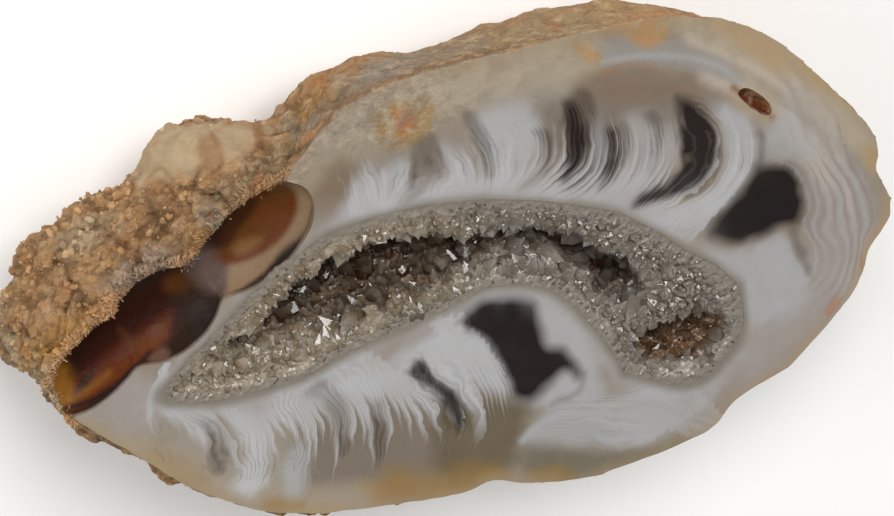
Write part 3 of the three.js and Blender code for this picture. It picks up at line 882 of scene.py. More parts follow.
def polished_agate(milk_colour):
    """Chalcedony, sawn and polished: a glassy face over milky feathers and clear dark windows."""
    # Real polishing marks are too fine to show, so they are drawn 0.35 mm wide.
    mat, t, g = begun(
        "Polished banded agate",
        ("band", "along", "comb", "feather", "window", "rings", "ring_band", "milky", "near", "rim", "frost"),
        wobble=(2.6, 3.0, 0.5), satin=(3.0, 4.0, 0.55), warmth=(4.5, 3.0, 0.55), deeper=(4.0, 2.0, 0.55),
        patches=(3.5, 3.0, 0.55), dim=(5.0, 2.0, 0.55), mottle=(0.8, 5.0, 0.65), dull=(2.0, 5.0, 0.65),
        polish=(0.35, 3.0, 0.55))
    wobble = add(t, "Math", (g.wobble, 1.5, -0.75), operation="MULTIPLY_ADD")
    phase = add(t, "Math", (g.band, 2.0, wobble), operation="MULTIPLY_ADD")
    ring_phase = add(t, "Math", (wobble, 0.5, g.ring_band), operation="MULTIPLY_ADD")
    satin = add(t, "Math", (g.satin, 0.36, 0.82), operation="MULTIPLY_ADD", use_clamp=True)
    milk = coats(t, milk_colour, (add(t, "MapRange", (g.warmth, 0.35, 0.65, 0.0, 1.0)), "milk_warm"))
    bright = coats(t, milk, (0.6, "milk_bright"))
    lit = add(t, "Math", (g.feather, strands(t, phase, g.along)), operation="MULTIPLY", use_clamp=True)

    # The windows are darkest in patches, and the feathers comb their edges.
    edge = add(t, "Math", (g.comb, 0.16), operation="MULTIPLY")
    edge = add(t, "Math", (ripple(t, phase, 1.7), edge), operation="MULTIPLY")
    window = add(t, "Math", (g.window, 1.3, -0.23), operation="MULTIPLY_ADD")
    window = add(t, "Math", (window, edge), operation="ADD", use_clamp=True)
    dark = coats(t, colour("window_edge"), (partly(t, window, g.deeper, 0.38, 0.62, 1.0, 0.7), "window"))

    # Shadowy grooves part the feathers, in patches and away from the hollow.
    groove = partly(t, g.comb, ripple(t, phase, 2.5), 0.45, 1.0, 0.0, 1.0)
    groove = partly(t, groove, g.patches, 0.42, 0.6, 0.0, 0.5)
    groove = partly(t, groove, g.along, 0.05, 0.35, 0.0, 1.0)

    # Pale rings and thin mauve lines take turns along the right side.
    wave = ripple(t, ring_phase, 1.5)
    pale = partly(t, g.rings, wave, 0.0, 1.0, 0.1, 0.45)
    line = partly(t, g.rings, wave, -0.1, -1.0, 0.0, 1.0)
    line = partly(t, line, g.dim, 0.4, 0.62, 0.15, 0.6)

    # The upper edge isn't polished: cream and brown specks, duller and rougher.
    mottle = partly(t, g.frost, g.mottle, 0.42, 0.62, 0.0, 0.75)
    dull = partly(t, g.frost, g.dull, 0.46, 0.6, 0.0, 0.65)
    base = coats(t, g.paint, (1.0, satin, "MULTIPLY"), (groove, "comb_shadow"), (window, dark), (lit, bright),
                 (pale, milk), (line, "mauve_line"), (g.milky, milk), (g.near, "crust_edge"), (g.rim, "rim"),
                 (mottle, "cream"), (dull, "brown_veil"))
    rough = add(t, "Math", (g.frost, 0.35, 0.14), operation="MULTIPLY_ADD")
    uneven = add(t, "Math", (g.frost, 0.03), operation="ADD")
    height = add(t, "Math", (g.polish, uneven), operation="MULTIPLY")
    finish(t, {"Base Color": base, "Roughness": rough, "IOR": 1.54, "Subsurface Weight": 0.1,
               "Subsurface Radius": (1.0, 0.9, 0.8), "Subsurface Scale": 0.5 * MM}, (height, 0.12))
    return mat


def broken_chalcedony():
    """Chalcedony, freshly chipped: smooth shell-shaped breaks, amber to smoky, glassy."""
    mat, t, g = begun("Chipped amber chalcedony", streak=(1.6, 5.0, 0.6), shells=(1.3, 3.0, 0.55),
                      fine=(0.3, 2.0, 0.55))
    streak = add(t, "Math", (g.streak, 0.9, 0.55), operation="MULTIPLY_ADD", use_clamp=True)
    fine = add(t, "Math", (g.fine, 0.12), operation="MULTIPLY")
    height = add(t, "Math", (g.shells, 0.8, fine), operation="MULTIPLY_ADD")
    base = coats(t, g.paint, (1.0, streak, "MULTIPLY"))
    finish(t, {"Base Color": base, "IOR": 1.54, "Roughness": 0.45, "Specular IOR Level": 0.1,
               "Subsurface Weight": 0.05, "Subsurface Radius": (1.0, 0.5, 0.25),
               "Subsurface Scale": 0.8 * MM}, (height, 0.2))
    return mat


def weathered_rind():
    """Iron-stained rind of a nodule, rough as grown: matte sandy lumps with rusty patches, and painted shade
    in the crevices between them.
    """
    mat, t, g = begun("Weathered nodular rind", ("smooth_lump", "seam"), pale=(1.4, 5.0, 0.65),
                      rusty=(1.9, 4.0, 0.6), speck=(0.32, 4.0, 0.7), lumps=(0.7, 4.0, 0.7))
    lively = add(t, "Math", (g.smooth_lump, -0.8, 1.0), operation="MULTIPLY_ADD")
    pale = partly(t, lively, g.pale, 0.5, 0.68, 0.0, 0.8)
    rusty = partly(t, lively, g.rusty, 0.56, 0.7, 0.0, 0.5)
    # The crevices between the nodules are darkened with painted shade.
    seam = add(t, "Math", (g.seam, 0.85), operation="MULTIPLY")
    speckle = add(t, "Math", (g.speck, 1.1, 0.42), operation="MULTIPLY_ADD", use_clamp=True)
    base = coats(t, g.paint, (pale, "rind_pale"), (rusty, "orange"), (seam, "crevice_shade"),
                 (lively, speckle, "MULTIPLY"))
    sugar = add(t, "TexVoronoi", {"Vector": g.place, "Scale": 1 / (0.5 * MM)})
    sugar = add(t, "Math", (sugar, -0.5), operation="MULTIPLY")
    height = add(t, "Math", (g.lumps, 0.7, sugar), operation="MULTIPLY_ADD")
    height = add(t, "Math", (height, lively), operation="MULTIPLY")
    finish(t, {"Base Color": base, "Roughness": 0.8, "IOR": 1.5, "Specular IOR Level": 0.25},
           (height, 0.5))
    return mat


def loose_grit():
    """Chalcedony sand, stuck on as grown: matte grains of the rind's own colours."""
    mat, t, g = begun("Sandy chalcedony grit", speck=(0.6, 3.0, 0.7), pitted=(0.2, 2.0, 0.55))
    speckle = add(t, "Math", (g.speck, 1.3, 0.4), operation="MULTIPLY_ADD", use_clamp=True)
    base = coats(t, g.paint, (1.0, speckle, "MULTIPLY"))
    finish(t, {"Base Color": base, "Roughness": 0.7, "IOR": 1.54, "Specular IOR Level": 0.3},
           (g.pitted, 0.05))
    return mat


def quartz_tones(t, g, bright, dull):
    """Colour of the quartz at any depth: grey and granular above, and deep in the hollows brown and dark,
    partly the quartz's own brown and partly painted shade.
    """
    sugary = add(t, "MapRange", (g.sugary, 0.35, 0.65, 0.0, 1.0))
    return coats(t, colour(dull), (sugary, bright), (g.cool, "quartz_cool"), (g.tip, "point_tip"),
                 (g.border, "crust_edge"), (g.depth, "hollow"), (g.warm, "hollow_orange"))


def quartz_points(point_colour):
    """Rock crystal, grown into the hollow: small clear hexagonal points with glassy faces."""
    # Real growth lines are too fine to show, so they are drawn 0.25 mm wide.
    mat, t, g = begun("Clear quartz points", QUARTZ_FIELDS, sugary=(1.1, 4.0, 0.55), faint=(0.25, 2.0, 0.55))
    finish(t, {"Base Color": quartz_tones(t, g, point_colour, "point_dull"), "IOR": 1.544,
               "Roughness": 0.05, "Transmission Weight": 0.65}, (g.faint, 0.01),
           Volume=add(t, "VolumeAbsorption", {"Color": colour("quartz_depth"), "Density": 60.0}))
    return mat


def quartz_base():
    """Milky quartz under the points: granular, sugary, slightly see-through."""
    mat, t, g = begun("Milky granular quartz", QUARTZ_FIELDS, sugary=(1.1, 4.0, 0.55))
    cells = add(t, "TexVoronoi", {"Vector": g.place, "Scale": 1 / (0.5 * MM)})
    finish(t, {"Base Color": quartz_tones(t, g, "quartz", "quartz_milk"), "IOR": 1.544, "Roughness": 0.25,
               "Subsurface Weight": 0.25, "Subsurface Radius": (1.0, 0.9, 0.75),
               "Subsurface Scale": 0.6 * MM}, (cells, 0.16))
    return mat


def pale_paper(paper_colour):
    """Seamless backdrop paper, lit through from below: matte, plain and pale."""
    mat, t, g = begun("Pale backdrop paper", cloudy=(30.0, 2.0, 0.55))
    cloudy = add(t, "Math", (g.cloudy, 0.03), operation="MULTIPLY")
    finish(t, {"Base Color": coats(t, paper_colour, (cloudy, "beige")), "Roughness": 0.85,
               "Specular IOR Level": 0.2, "Emission Color": paper_colour, "Emission Strength": 0.12})
    return mat


# Pieces.

class StoneSettings(bpy.types.PropertyGroup):
    mesh_size: bpy.props.FloatProperty(
        name="Mesh size", description="Edge length of the stone's mesh, in millimetres",
        default=0.31, min=0.2, max=1.0)
    nodule_size: bpy.props.FloatProperty(
        name="Nodule size", description="Width of the rind's larger nodules, in millimetres",
        default=2.8, min=0.5, max=8.0)
    nodule_height: bpy.props.FloatProperty(
        name="Nodule height", description="Height of the rind's larger nodules, in millimetres",
        default=1.05, min=0.0, max=2.0)
    halo_width: bpy.props.FloatProperty(
        name="Halo width", description="Width of the white border of the hollow, in millimetres",
        default=1.5, min=0.2, max=5.0)
    rim_width: bpy.props.FloatProperty(
        name="Rim width", description="Width of the tan rim of the face, in millimetres",
        default=1.6, min=0.2, max=8.0)
    milk: bpy.props.FloatVectorProperty(
        name="Milky bands", description="Colour of the milky bands and feathers",
        default=linear(COLOUR["milk"]), subtype="COLOR", min=0.0, max=1.0)


class GritSettings(bpy.types.PropertyGroup):
    grain_count: bpy.props.IntProperty(
        name="Grains", description="How many loose grains sit on the rind", default=2600, min=0, max=5000)
    fibre_count: bpy.props.IntProperty(
        name="Slivers", description="How many slivers fringe the chips", default=2400, min=0, max=4000)
    largest: bpy.props.FloatProperty(
        name="Largest grain", description="Radius of the largest grains, in millimetres",
        default=0.42, min=0.05, max=1.0)
    seed: bpy.props.IntProperty(name="Seed", description="Seed of the grains' places", default=5)


class CrustSettings(bpy.types.PropertyGroup):
    small_count: bpy.props.IntProperty(
        name="Small points", description="How many small quartz points cover the crust",
        default=3000, min=10, max=5000)
    large_count: bpy.props.IntProperty(
        name="Large points", description="How many large quartz points stand in the hollows",
        default=420, min=0, max=1000)
    edge_count: bpy.props.IntProperty(
        name="Edge points", description="How many quartz points hang over the edge of the hollows",
        default=420, min=0, max=1000)
    smallest: bpy.props.FloatProperty(
        name="Smallest point", description="Radius of the smallest quartz points, in millimetres",
        default=0.16, min=0.05, max=2.0)
    largest: bpy.props.FloatProperty(
        name="Largest point", description="Radius of the largest quartz points, in millimetres",
        default=1.0, min=0.1, max=3.0)
    bright: bpy.props.FloatVectorProperty(
        name="Bright points", description="Colour of the brightest quartz points",
        default=linear(COLOUR["point_bright"]), subtype="COLOR", min=0.0, max=1.0)
    seed: bpy.props.IntProperty(name="Seed", description="Seed of the points' places", default=7)


class StageSettings(bpy.types.PropertyGroup):
    floor_width: bpy.props.FloatProperty(
        name="Floor width", description="Width of the floor", default=3.0, unit="LENGTH")
    key_power: bpy.props.FloatProperty(
        name="Key light", description="Power of the soft key light", default=1.15, unit="POWER")
    fill_level: bpy.props.FloatProperty(
        name="Fill level", description="Brightness of the surroundings", default=0.28)
    paper: bpy.props.FloatVectorProperty(
        name="Paper", description="Colour of the backdrop paper",
        default=linear(COLOUR["floor"]), subtype="COLOR", min=0.0, max=1.0)


def feather_fields(px, ragged):
    """Band number, share along and strength of the feathers, which end raggedly."""
    band = np.zeros(len(px))
    along = np.ones(len(px))
    comb = np.zeros(len(px))
    for guides, way, strength, first_band in SHEAVES:
        b, a, gap = sheaf([pixels(guide)[::way] for guide in guides], px)
        body = strength * (gap < WIDEST_GAP) * (1 - fade(a + 0.16 * ragged, 0.8, 1.0))
        take = body > comb
        band[take] = b[take] + first_band
        along[take] = a[take]
        comb = np.maximum(comb, body)
    return band, along, comb


def window_fields(px, ragged):
    """How dark the windows are, and how clear of feathers: less so in the faint ones."""
    window = np.zeros(len(px))
    clear = np.zeros(len(px))
    for outline in WINDOWS:
        inside = inside_of(outline, px) + 1.8 * ragged
        window = np.maximum(window, fade(inside, -14, 10))
        clear = np.maximum(clear, fade(inside, -4, 6))
    for outline in FAINT_WINDOWS:
        faint = fade(inside_of(outline, px) + 2 * ragged, -7, 6)
        window = np.maximum(window, 0.5 * faint)
        clear = np.maximum(clear, 0.6 * faint)
    return window, clear


def frost_field(px, ragged):
    """How dull and mottled the face is: above a line, less to the right and on the grey ledge."""
    above = -beside(smooth_curve(pixels(FROST_EDGE)), px)[0]
    frost = fade(above + 5 * ragged, -4, 12) * (1 - fade(np.abs(above), 80, 120))
    frost = frost * (1 - fade(px[:, 0], 690, 790)) * (1 - 0.6 * fade(px[:, 0], 410, 490))
    return np.clip(frost * (1 - 0.85 * fade(inside_of(GREY_LEDGE, px), -6, 2)), 0, 1)


def face_fields(p, px, druse, edge, settings):
    """The smooth fields that the polished face is drawn from, by the names its material reads."""
    flat = p * np.array([1.0, 1.0, 0.0])
    ragged = waves(flat, 0.9, 3)
    band, along, comb = feather_fields(px, ragged)
    window, clear = window_fields(px, ragged)
    uneven = 1 + 0.45 * waves(flat, 2.6, 9) + 0.2 * waves(flat, 1.1, 10)
    halo = np.exp(-(np.maximum(druse - 0.1, 0) / (settings.halo_width * uneven)) ** 2)
    ring_band, ring_along, ring_gap = sheaf([pixels(guide) for guide in RIGHT_RINGS], px)
    rings = (ring_gap < WIDEST_GAP) * fade(ring_along, 0.0, 0.12) * (1 - fade(ring_along, 0.88, 1.0))
    rim = (1 - fade(edge, 0.1, settings.rim_width)) * (0.55 + 0.5 * waves(flat, 3.0, 15))
    return {
        "band": band, "along": along, "comb": comb, "feather": comb * (1 - 0.95 * clear),
        "window": window, "milky": np.clip(0.85 * halo * (1 - 0.7 * window), 0, 1),
        "near": 1 - fade(druse - 0.25 * uneven, 0.0, 0.9), "rings": rings, "ring_band": ring_band,
        "rim": np.clip(rim, 0, 1), "frost": frost_field(px, ragged),
    }


class GEODE_OT_stone(bpy.types.Operator):
    """Build the agate half with its polished face, chips and rind"""

    bl_idname = "geode.stone"
    bl_label = "Agate half"

    def execute(self, context):
        settings = context.scene.geode_stone
        obj = solid_copy("agate_half", "agate_stone")
        remesh(obj, settings.mesh_size)
        p = points_of(obj)
        normal = normals_of(obj)
        on_top = (p[:, 2] > FACE_Z - FACE_SKIN) & (normal[:, 2] > UPRIGHT)
        p[on_top, 2] = FACE_Z
        druse = self.druse_distance(p, on_top)
        in_trough = ~on_top & (druse < TROUGH_SKIN)
        sizes, carried = chip_fields(p)
        nearest = np.argmin(np.abs(sizes - 1), axis=0)
        off = np.abs(np.take_along_axis(sizes, nearest[None], 0)[0] - 1)
        in_chip = (off < CHIP_SKIN) & ~on_top & (p[:, 2] > CHIP_FLOOR)
        p[in_chip] = carried[nearest[in_chip], np.flatnonzero(in_chip)]
        rind = ~on_top & ~in_trough & ~in_chip
        p = even_out(obj, p, meeting_line(obj, on_top))
        p = even_out(obj, p, meeting_line(obj, in_chip))
        edge = np.full(len(p), FAR)
        high_rind = p[rind & (p[:, 2] > RIM_LEVELS[0]) & (p[:, 2] < RIM_LEVELS[1])]
        edge[on_top] = distance_to(p[on_top], high_rind, FAR)
        px = in_picture(p)
        self.paint(obj, p, px, normal, on_top, in_chip, rind)
        self.write_face(obj, p, px, druse, edge, on_top, settings)
        self.roughen(obj, p, px, normal, rind, in_chip, settings)
        self.assign(obj, on_top, rind, in_chip, settings)
        select_only(obj)
        bpy.ops.object.shade_smooth_by_angle(angle=math.radians(SHARP_EDGE))
        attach(obj, "root")
        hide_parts("agate_half")
        return {"FINISHED"}

    def druse_distance(self, p, on_top):
        """Distance to the quartz crust of each point of the face and near the crust."""
        crust = points_of(bpy.data.objects["quartz_crust"])
        near = on_top | np.all((p > crust.min(0) - 1) & (p < crust.max(0) + 1), axis=1)
        distance = np.full(len(p), FAR)
        distance[near] = gap_to("quartz_crust", p[near])
        return distance

    def paint(self, obj, p, px, normal, on_top, in_chip, rind):
        """Writes the colour of the face, the chips and the rind that the photograph shows."""
        # The chips' upper sides and the rind's folds carry painted shade, and one chip a painted glint.
        ragged = waves(p, 1.0, 3) + 0.5 * waves(p, 0.5, 4)
        seen = rind & (normal @ np.array(camera_axes()[2]) > -0.1)
        shade = np.tile(linear(COLOUR["rind_brown"]), (len(p), 1)).astype(float)
        for part, ground, tones, strokes, uneven in (
                (on_top, "clear_grey", FACE_TONES, FACE_STROKES, 0.3),
                (in_chip, "smoky", CHIP_TONES, CHIP_STROKES, 0.25),
                (seen, "rind_brown", RIND_TONES, RIND_STROKES, 1.0)):
            shade[part] = painted(px[part], ground, tones, strokes, uneven * ragged[part])
        write_shade(obj, shade)

    def write_face(self, obj, p, px, druse, edge, on_top, settings):
        """Writes the face's fields, which are 0 on the rest of the stone."""
        fields = face_fields(p[on_top], px[on_top], druse[on_top], edge[on_top], settings)
        for name, values in fields.items():
            whole = np.zeros(len(p))
            whole[on_top] = values
            write(obj, **{name: whole})

    def roughen(self, obj, p, px, normal, rind, in_chip, settings):
        """Raises nodules on the rind and shell ripples in the chips."""
        below = fade(FACE_Z - p[:, 2], 0.0, 1.0)
        left = 1 - fade(p[:, 0], -18, 0)
        lump = fade(inside_of(SMOOTH_LUMP, px), -6, 6) * rind
        warp = np.column_stack([waves(p, 1.8, s) + 0.5 * waves(p, 0.8, s + 3) for s in (21, 22, 23)])
        long = p * np.array([0.7, 1.0, 0.9]) + 0.9 * warp
        big_first, big_second = pebbles(long, settings.nodule_size, 31)
        first, second = pebbles(long, settings.nodule_size * 0.42, 35)
        knob = 0.7 * (0.8 - big_first ** 2) + 0.55 * (0.8 - first ** 2)
        broken = fade(waves(p, 2.2, 44), -0.35, 0.3)
        seam = np.maximum((1 - fade(big_second - big_first, 0.0, 0.2)) * (0.3 + 0.7 * broken),
                          0.75 * (1 - fade(second - first, 0.0, 0.26)) * (1 - 0.6 * broken))
        grit = 0.55 * waves(p, 0.5, 41) + 0.45 * waves(p, 1.0, 42)
        strength = (0.4 + 0.6 * left) * (1 - 0.75 * lump)
        rise = (settings.nodule_height * (knob - 0.55) + 0.16 * grit - 0.15 * seam) * strength
        rise = np.where(rind, rise * below * fade(p[:, 2], 0.0, 0.4), 0)
        rise += np.where(in_chip, 0.06 * waves(p, 1.7, 51) * below, 0)
        # The seams are kept for the rind's material, which darkens them with painted shade.
        write(obj, seam=seam * strength * rind, smooth_lump=lump)
        move_in_box(obj, p + normal * rise[:, None])

    def assign(self, obj, on_top, rind, in_chip, settings):
        """Gives each face the material of its part: the face and the trough, a chip, or the rind."""
        for mat in (polished_agate((*settings.milk, 1.0)), broken_chalcedony(), weathered_rind()):
            obj.data.materials.append(mat)
        kind = np.zeros(len(on_top), int)
        kind[in_chip] = 1
        kind[rind] = RIND_MATERIAL
        corners, starts, _ = face_corners(obj)
        obj.data.polygons.foreach_set("material_index", np.maximum.reduceat(kind[corners], starts))


class GEODE_OT_grit(bpy.types.Operator):
    """Scatter sandy grains over the rind and slivers along the chips"""

    bl_idname = "geode.grit"
    bl_label = "Rind grit"

    def execute(self, context):
        settings = context.scene.geode_grit
        stone = bpy.data.objects["agate_stone"]
        p = points_of(stone)
        normal = normals_of(stone)
        rng = np.random.default_rng(settings.seed)
        calm = read(stone.data.attributes["smooth_lump"].data, "value", 1)
        tint = read(stone.data.attributes["shade"].data, "color", 4, np.float32)[:, :3]
        kind = read(stone.data.polygons, "material_index", 1, int)
        corners, _, sides = face_corners(stone)
        rind = np.zeros(len(p), bool)
        rind[corners[np.repeat(kind == RIND_MATERIAL, sides)]] = True
        rind &= (p[:, 2] > GRIT_LEVELS[0]) & (p[:, 2] < GRIT_LEVELS[1])
        sizes, carried = chip_fields(p)
        off = np.min(sizes, axis=0) - 1
        inward = unit(carried[np.argmin(sizes, axis=0), np.arange(len(p))] - p)
        rind &= off > FRINGE[0]
        fringe = rind & (off < FRINGE[1]) & (p[:, 2] > CHIP_FLOOR)
        left = 1 - fade(p[:, 0], -22, -8)
        above = fade(p[:, 1] + 0.45 * p[:, 0], -16.5, -14)
        grains = self.scatter(
            p, normal, tint, rind * left * (1 - calm) * above, settings.grain_count, 0.6, rng, "Grains",
            template(lambda: bpy.ops.mesh.primitive_ico_sphere_add(subdivisions=1, radius=1)),
            lambda n: (0.08 + (settings.largest - 0.08) * rng.random(n) ** 4)[:, None]
            * rng.uniform(0.6, 1.3, (n, 3)))
        slivers = self.scatter(
            p + 0.2 * inward, inward + 0.4 * normal, tint, fringe * (1.2 - fade(off, *FRINGE)),
            settings.fibre_count, 0.5, rng, "Slivers",
            template(lambda: bpy.ops.mesh.primitive_cone_add(vertices=5, radius1=1, radius2=0.25, depth=2)),
            lambda n: np.column_stack([rng.uniform(0.06, 0.17, n), rng.uniform(0.06, 0.17, n),
                                       rng.uniform(0.18, 0.42, n)]))
        join_to(grains, slivers)
        grains.name = "rind_grit"
        grains.data.materials.append(loose_grit())
        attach(grains, "root")
        return {"FINISHED"}

    def scatter(self, p, normal, tint, weight, count, lean, rng, name, shape, sizes):
        """Copies of a small solid at weighted random points, leaning off the normals there."""
        chosen = rng.choice(len(p), count, p=weight / weight.sum())
        axes = unit(normal[chosen] + lean * rng.normal(size=(count, 3)))
        places = p[chosen] + 0.12 * rng.normal(size=(count, 3)) - 0.1 * normal[chosen]
        obj = copies(shape, places, axes, sizes(count), rng, name)
        write_shade(obj, np.repeat(tint[chosen] * rng.uniform(0.65, 1.35, (count, 1)), len(shape[0]), axis=0))
        move_in_box(obj, points_of(obj))
        return obj


class GEODE_OT_crust(bpy.types.Operator):
    """Build the quartz crust with its many points"""

    bl_idname = "geode.crust"
    bl_label = "Quartz crust"

    def execute(self, context):
        settings = context.scene.geode_crust
        liner = solid_copy("quartz_crust", "quartz_druse")
        triangles = self.triangles(liner)
        remesh(liner, CRUST_MESH)
        self.settle(liner)
        liner.data.materials.append(quartz_base())
        self.write_depth(liner)
        shape = template(self.model_point)
        points = self.points(triangles, shape, settings)
        points.data.materials.append(quartz_points((*settings.bright, 1.0)))
        self.write_depth(points)
        height = shape[0][:, 2]
        tips = np.clip(height / height.max(), 0, 1) ** 2
        write(points, tip=0.55 * np.tile(tips, len(points.data.vertices) // len(tips)))
        join_to(liner, points)
        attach(liner, "root")
        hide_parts("quartz_crust")
        return {"FINISHED"}

    def settle(self, liner):
        """Closes the crust onto the agate, and makes its open side and lip granular."""
        p = points_of(liner)
        normal = normals_of(liner)
        outer = gap_to("agate_half", p) < OUTER_SIDE
        lip = (p[:, 2] > FACE_Z - 0.3) & (normal[:, 2] > 0.3)
        sideways = unit(normal * np.array([1.0, 1.0, 0.0]), 0.2)
        outwards = np.where(lip[:, None], sideways * LIP_MOVE, normal * OUTER_MOVE)
        p = p + np.where(outer[:, None], outwards, 0)
        rise = 0.16 * waves(p, 0.9, 71) + 0.1 * waves(p, 0.45, 72)
        p = p + normal * np.where(outer | lip, 0, rise)[:, None]
        away = fade(self.past_border(p), 0.0, 1.6)
        sunk = 0.04 + away * (0.35 + 0.6 * np.abs(waves(p, 0.9, 73)))
        p[lip, 2] = FACE_Z - sunk[lip]
        move_to(liner, p)

    def past_border(self, p):
        """Distance in millimetres from the smooth border beside the agate, below 0 on it."""
        return gap_to("agate_half", p) - SMOOTH_BORDER

    def beyond_third(self, p):
        """0 in the small third hollow, 1 away from it."""
        return fade(np.hypot(p[:, 0] - THIRD_HOLLOW[0], p[:, 1] - THIRD_HOLLOW[1]), 3.2, 5.0)

    def write_depth(self, obj):
        """Writes the fields that the quartz is coloured by: depth for the painted shade in the hollows,
        border, and left to right.
        """
        p = points_of(obj)
        below = FACE_Z - p[:, 2]
        third = 1 - self.beyond_third(p)
        # Painted shade in the hollows over the quartz's own brown: darker further down, and less on walls
        # that face +Y, towards the key light.
        deep = fade(below, 0.9, 4.0) * (1 - 0.55 * np.clip(normals_of(obj)[:, 1], 0, 1))
        border = (1 - fade(self.past_border(p), -0.1, 0.8)) * (1 - fade(below, 0.2, 0.8))
        write(obj, depth=deep * (1 - third), warm=third * fade(below, 0.4, 1.8) * 0.9,
              border=border, cool=0.6 * fade(p[:, 0], -6, 6))

    def triangles(self, obj):
        """The corners of each triangle of the mesh, in millimetres."""
        obj.data.calc_loop_triangles()
        return points_of(obj)[read(obj.data.loop_triangles, "vertices", 3, int)]

    def points(self, triangles, shape, settings):
        """Grows small, large and overhanging quartz points on the hollows' walls and the lip."""
        rng = np.random.default_rng(settings.seed)
        cross = np.cross(triangles[:, 1] - triangles[:, 0], triangles[:, 2] - triangles[:, 0])
        area = np.linalg.norm(cross, axis=1) / 2
        facing = cross / np.maximum(2 * area, 1e-9)[:, None]
        middle = triangles.mean(1)
        depth = FACE_Z - middle[:, 2]
        clear = gap_to("agate_half", middle) > ROOT_GAP
        hollow = (depth > LIP_DEPTH) & (facing[:, 2] > -0.75) & clear
        lip = (depth < LIP_DEPTH) & (facing[:, 2] > 0.9)
        upright = np.clip(facing[:, 2] + 0.3, 0, 1) * self.beyond_third(middle)
        near_edge = hollow * (depth < EDGE_DEPTH) * (facing[:, 2] < 0.6) * self.beyond_third(middle)
        span = settings.largest - settings.smallest
        groups = (
            (settings.small_count, area * (hollow + 1.6 * lip), 0.5,
             lambda n: settings.smallest + 0.35 * span * rng.random(n) ** 1.6),
            (settings.large_count, area * (hollow * upright * (depth < LARGE_DEPTH) + 0.25 * lip), 0.4,
             lambda n: settings.smallest + span * rng.uniform(0.4, 1.0, n)),
            (settings.edge_count, area * near_edge, 0.3,
             lambda n: settings.smallest + span * rng.uniform(0.2, 0.62, n)),
        )
        places, axes, sizes = [], [], []
        for count, weight, lean, radius in groups:
            chosen = rng.choice(len(area), count, p=weight / weight.sum())
            u, v = rng.random((2, count))
            flip = u + v > 1
            u[flip], v[flip] = 1 - u[flip], 1 - v[flip]
            t = triangles[chosen]
            axis = unit(facing[chosen] + lean * rng.normal(size=(count, 3)))
            r = radius(count)
            at = t[:, 0] + u[:, None] * (t[:, 1] - t[:, 0]) + v[:, None] * (t[:, 2] - t[:, 0])
            places.append(at - axis * r[:, None] * 0.3)
            axes.append(axis)
            sizes.append(np.column_stack([r, r, r * rng.uniform(0.85, 1.3, count)]))
        return copies(shape, np.vstack(places), np.vstack(axes), np.vstack(sizes), rng, "Quartz points")

    def model_point(self):
        """One hexagonal quartz point: a six-sided cone on an extruded prism."""
        bpy.ops.mesh.primitive_cone_add(vertices=6, radius1=1, radius2=0, depth=1.25,
                                        end_fill_type="NGON", location=(0, 0, 0.625))
        bpy.ops.object.mode_set(mode="EDIT")
        mesh = bmesh.from_edit_mesh(bpy.context.object.data)
        for face in mesh.faces:
            face.select_set(face.normal.z < -0.9)
        bmesh.update_edit_mesh(bpy.context.object.data)
        bpy.ops.mesh.extrude_region_move(TRANSFORM_OT_translate={"value": (0, 0, -0.8)})
        bpy.ops.object.mode_set(mode="OBJECT")


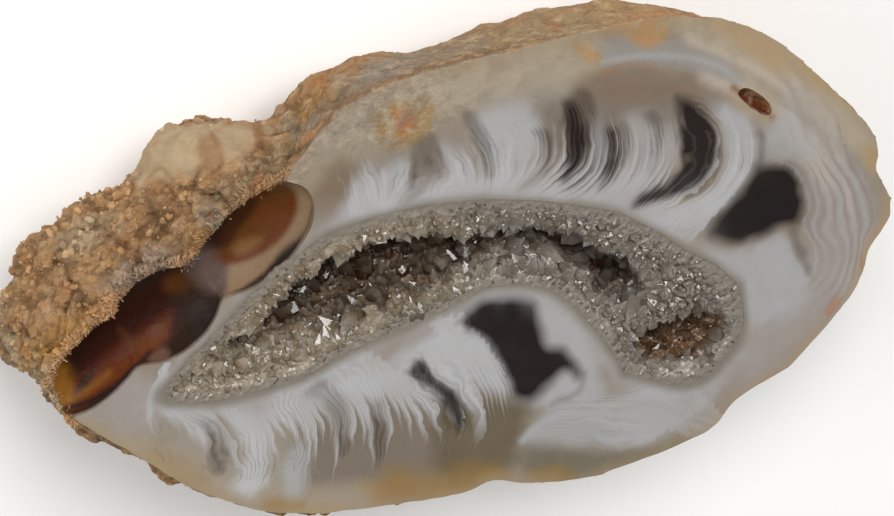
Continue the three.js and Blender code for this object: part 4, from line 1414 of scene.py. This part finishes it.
class GEODE_OT_stage(bpy.types.Operator):
    """Add the floor, the soft light and the camera"""

    bl_idname = "geode.stage"
    bl_label = "Floor, light and camera"

    def execute(self, context):
        settings = context.scene.geode_stage
        deselect()
        bpy.ops.mesh.primitive_plane_add(size=settings.floor_width, location=(0, 0, 0))
        floor = context.object
        floor.name = "floor"
        floor.data.materials.append(pale_paper((*settings.paper, 1.0)))
        for name, place, width, share in LAMPS:
            self.light(name, place, width, settings.key_power * share)
        world = bpy.data.worlds.new("Soft surroundings")
        context.scene.world = world
        world.use_nodes = True
        back = world.node_tree.nodes["Background"]
        back.inputs["Color"].default_value = (1, 1, 1, 1)
        back.inputs["Strength"].default_value = settings.fill_level
        context.scene.view_settings.view_transform = "Standard"
        self.camera(context)
        return {"FINISHED"}

    def light(self, name, place, width, power):
        """A round soft lamp that faces the origin."""
        bpy.ops.object.light_add(type="AREA", location=place)
        lamp = bpy.context.object
        lamp.name = name
        lamp.data.shape = "DISK"
        lamp.data.size = width
        lamp.data.energy = power
        lamp.rotation_euler = (-Vector(place)).to_track_quat("-Z", "Y").to_euler()

    def camera(self, context):
        """The camera of the photograph, looking at its target from its distance."""
        right, up, back = camera_axes()
        data = bpy.data.cameras.new("Camera")
        data.lens = LENS_MM
        data.sensor_width = SENSOR_MM
        data.clip_start = 0.01
        camera = linked("Camera", data)
        turn = Matrix((right, up, back)).transposed().to_4x4()
        place = (Vector(VIEW_TARGET) + back * VIEW_DISTANCE) * MM
        camera.matrix_world = Matrix.Translation(place) @ turn
        context.scene.camera = camera


SETTINGS = {"geode_stone": StoneSettings, "geode_grit": GritSettings, "geode_crust": CrustSettings,
            "geode_stage": StageSettings}


class GEODE_PT_panel(bpy.types.Panel):
    """Lists the pieces and their settings"""

    bl_idname = "GEODE_PT_panel"
    bl_label = "Geode half"
    bl_space_type = "VIEW_3D"
    bl_region_type = "UI"
    bl_category = "Geode"

    def draw(self, context):
        for group in SETTINGS:
            settings = getattr(context.scene, group)
            column = self.layout.column()
            for name in settings.__annotations__:
                column.prop(settings, name)
            column.operator(group.replace("_", "."))


CLASSES = (*SETTINGS.values(), GEODE_OT_stone, GEODE_OT_grit, GEODE_OT_crust, GEODE_OT_stage,
           GEODE_PT_panel)


def register():
    for item in CLASSES:
        bpy.utils.register_class(item)
    for name, group in SETTINGS.items():
        setattr(bpy.types.Scene, name, bpy.props.PointerProperty(type=group))


def unregister():
    for name in SETTINGS:
        delattr(bpy.types.Scene, name)
    for item in reversed(CLASSES):
        bpy.utils.unregister_class(item)


def main():
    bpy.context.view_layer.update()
    register()
    bpy.ops.geode.stone()
    bpy.ops.geode.grit()
    bpy.ops.geode.crust()
    bpy.ops.geode.stage()
    bpy.context.view_layer.update()


if __name__ == "__main__":
    main()
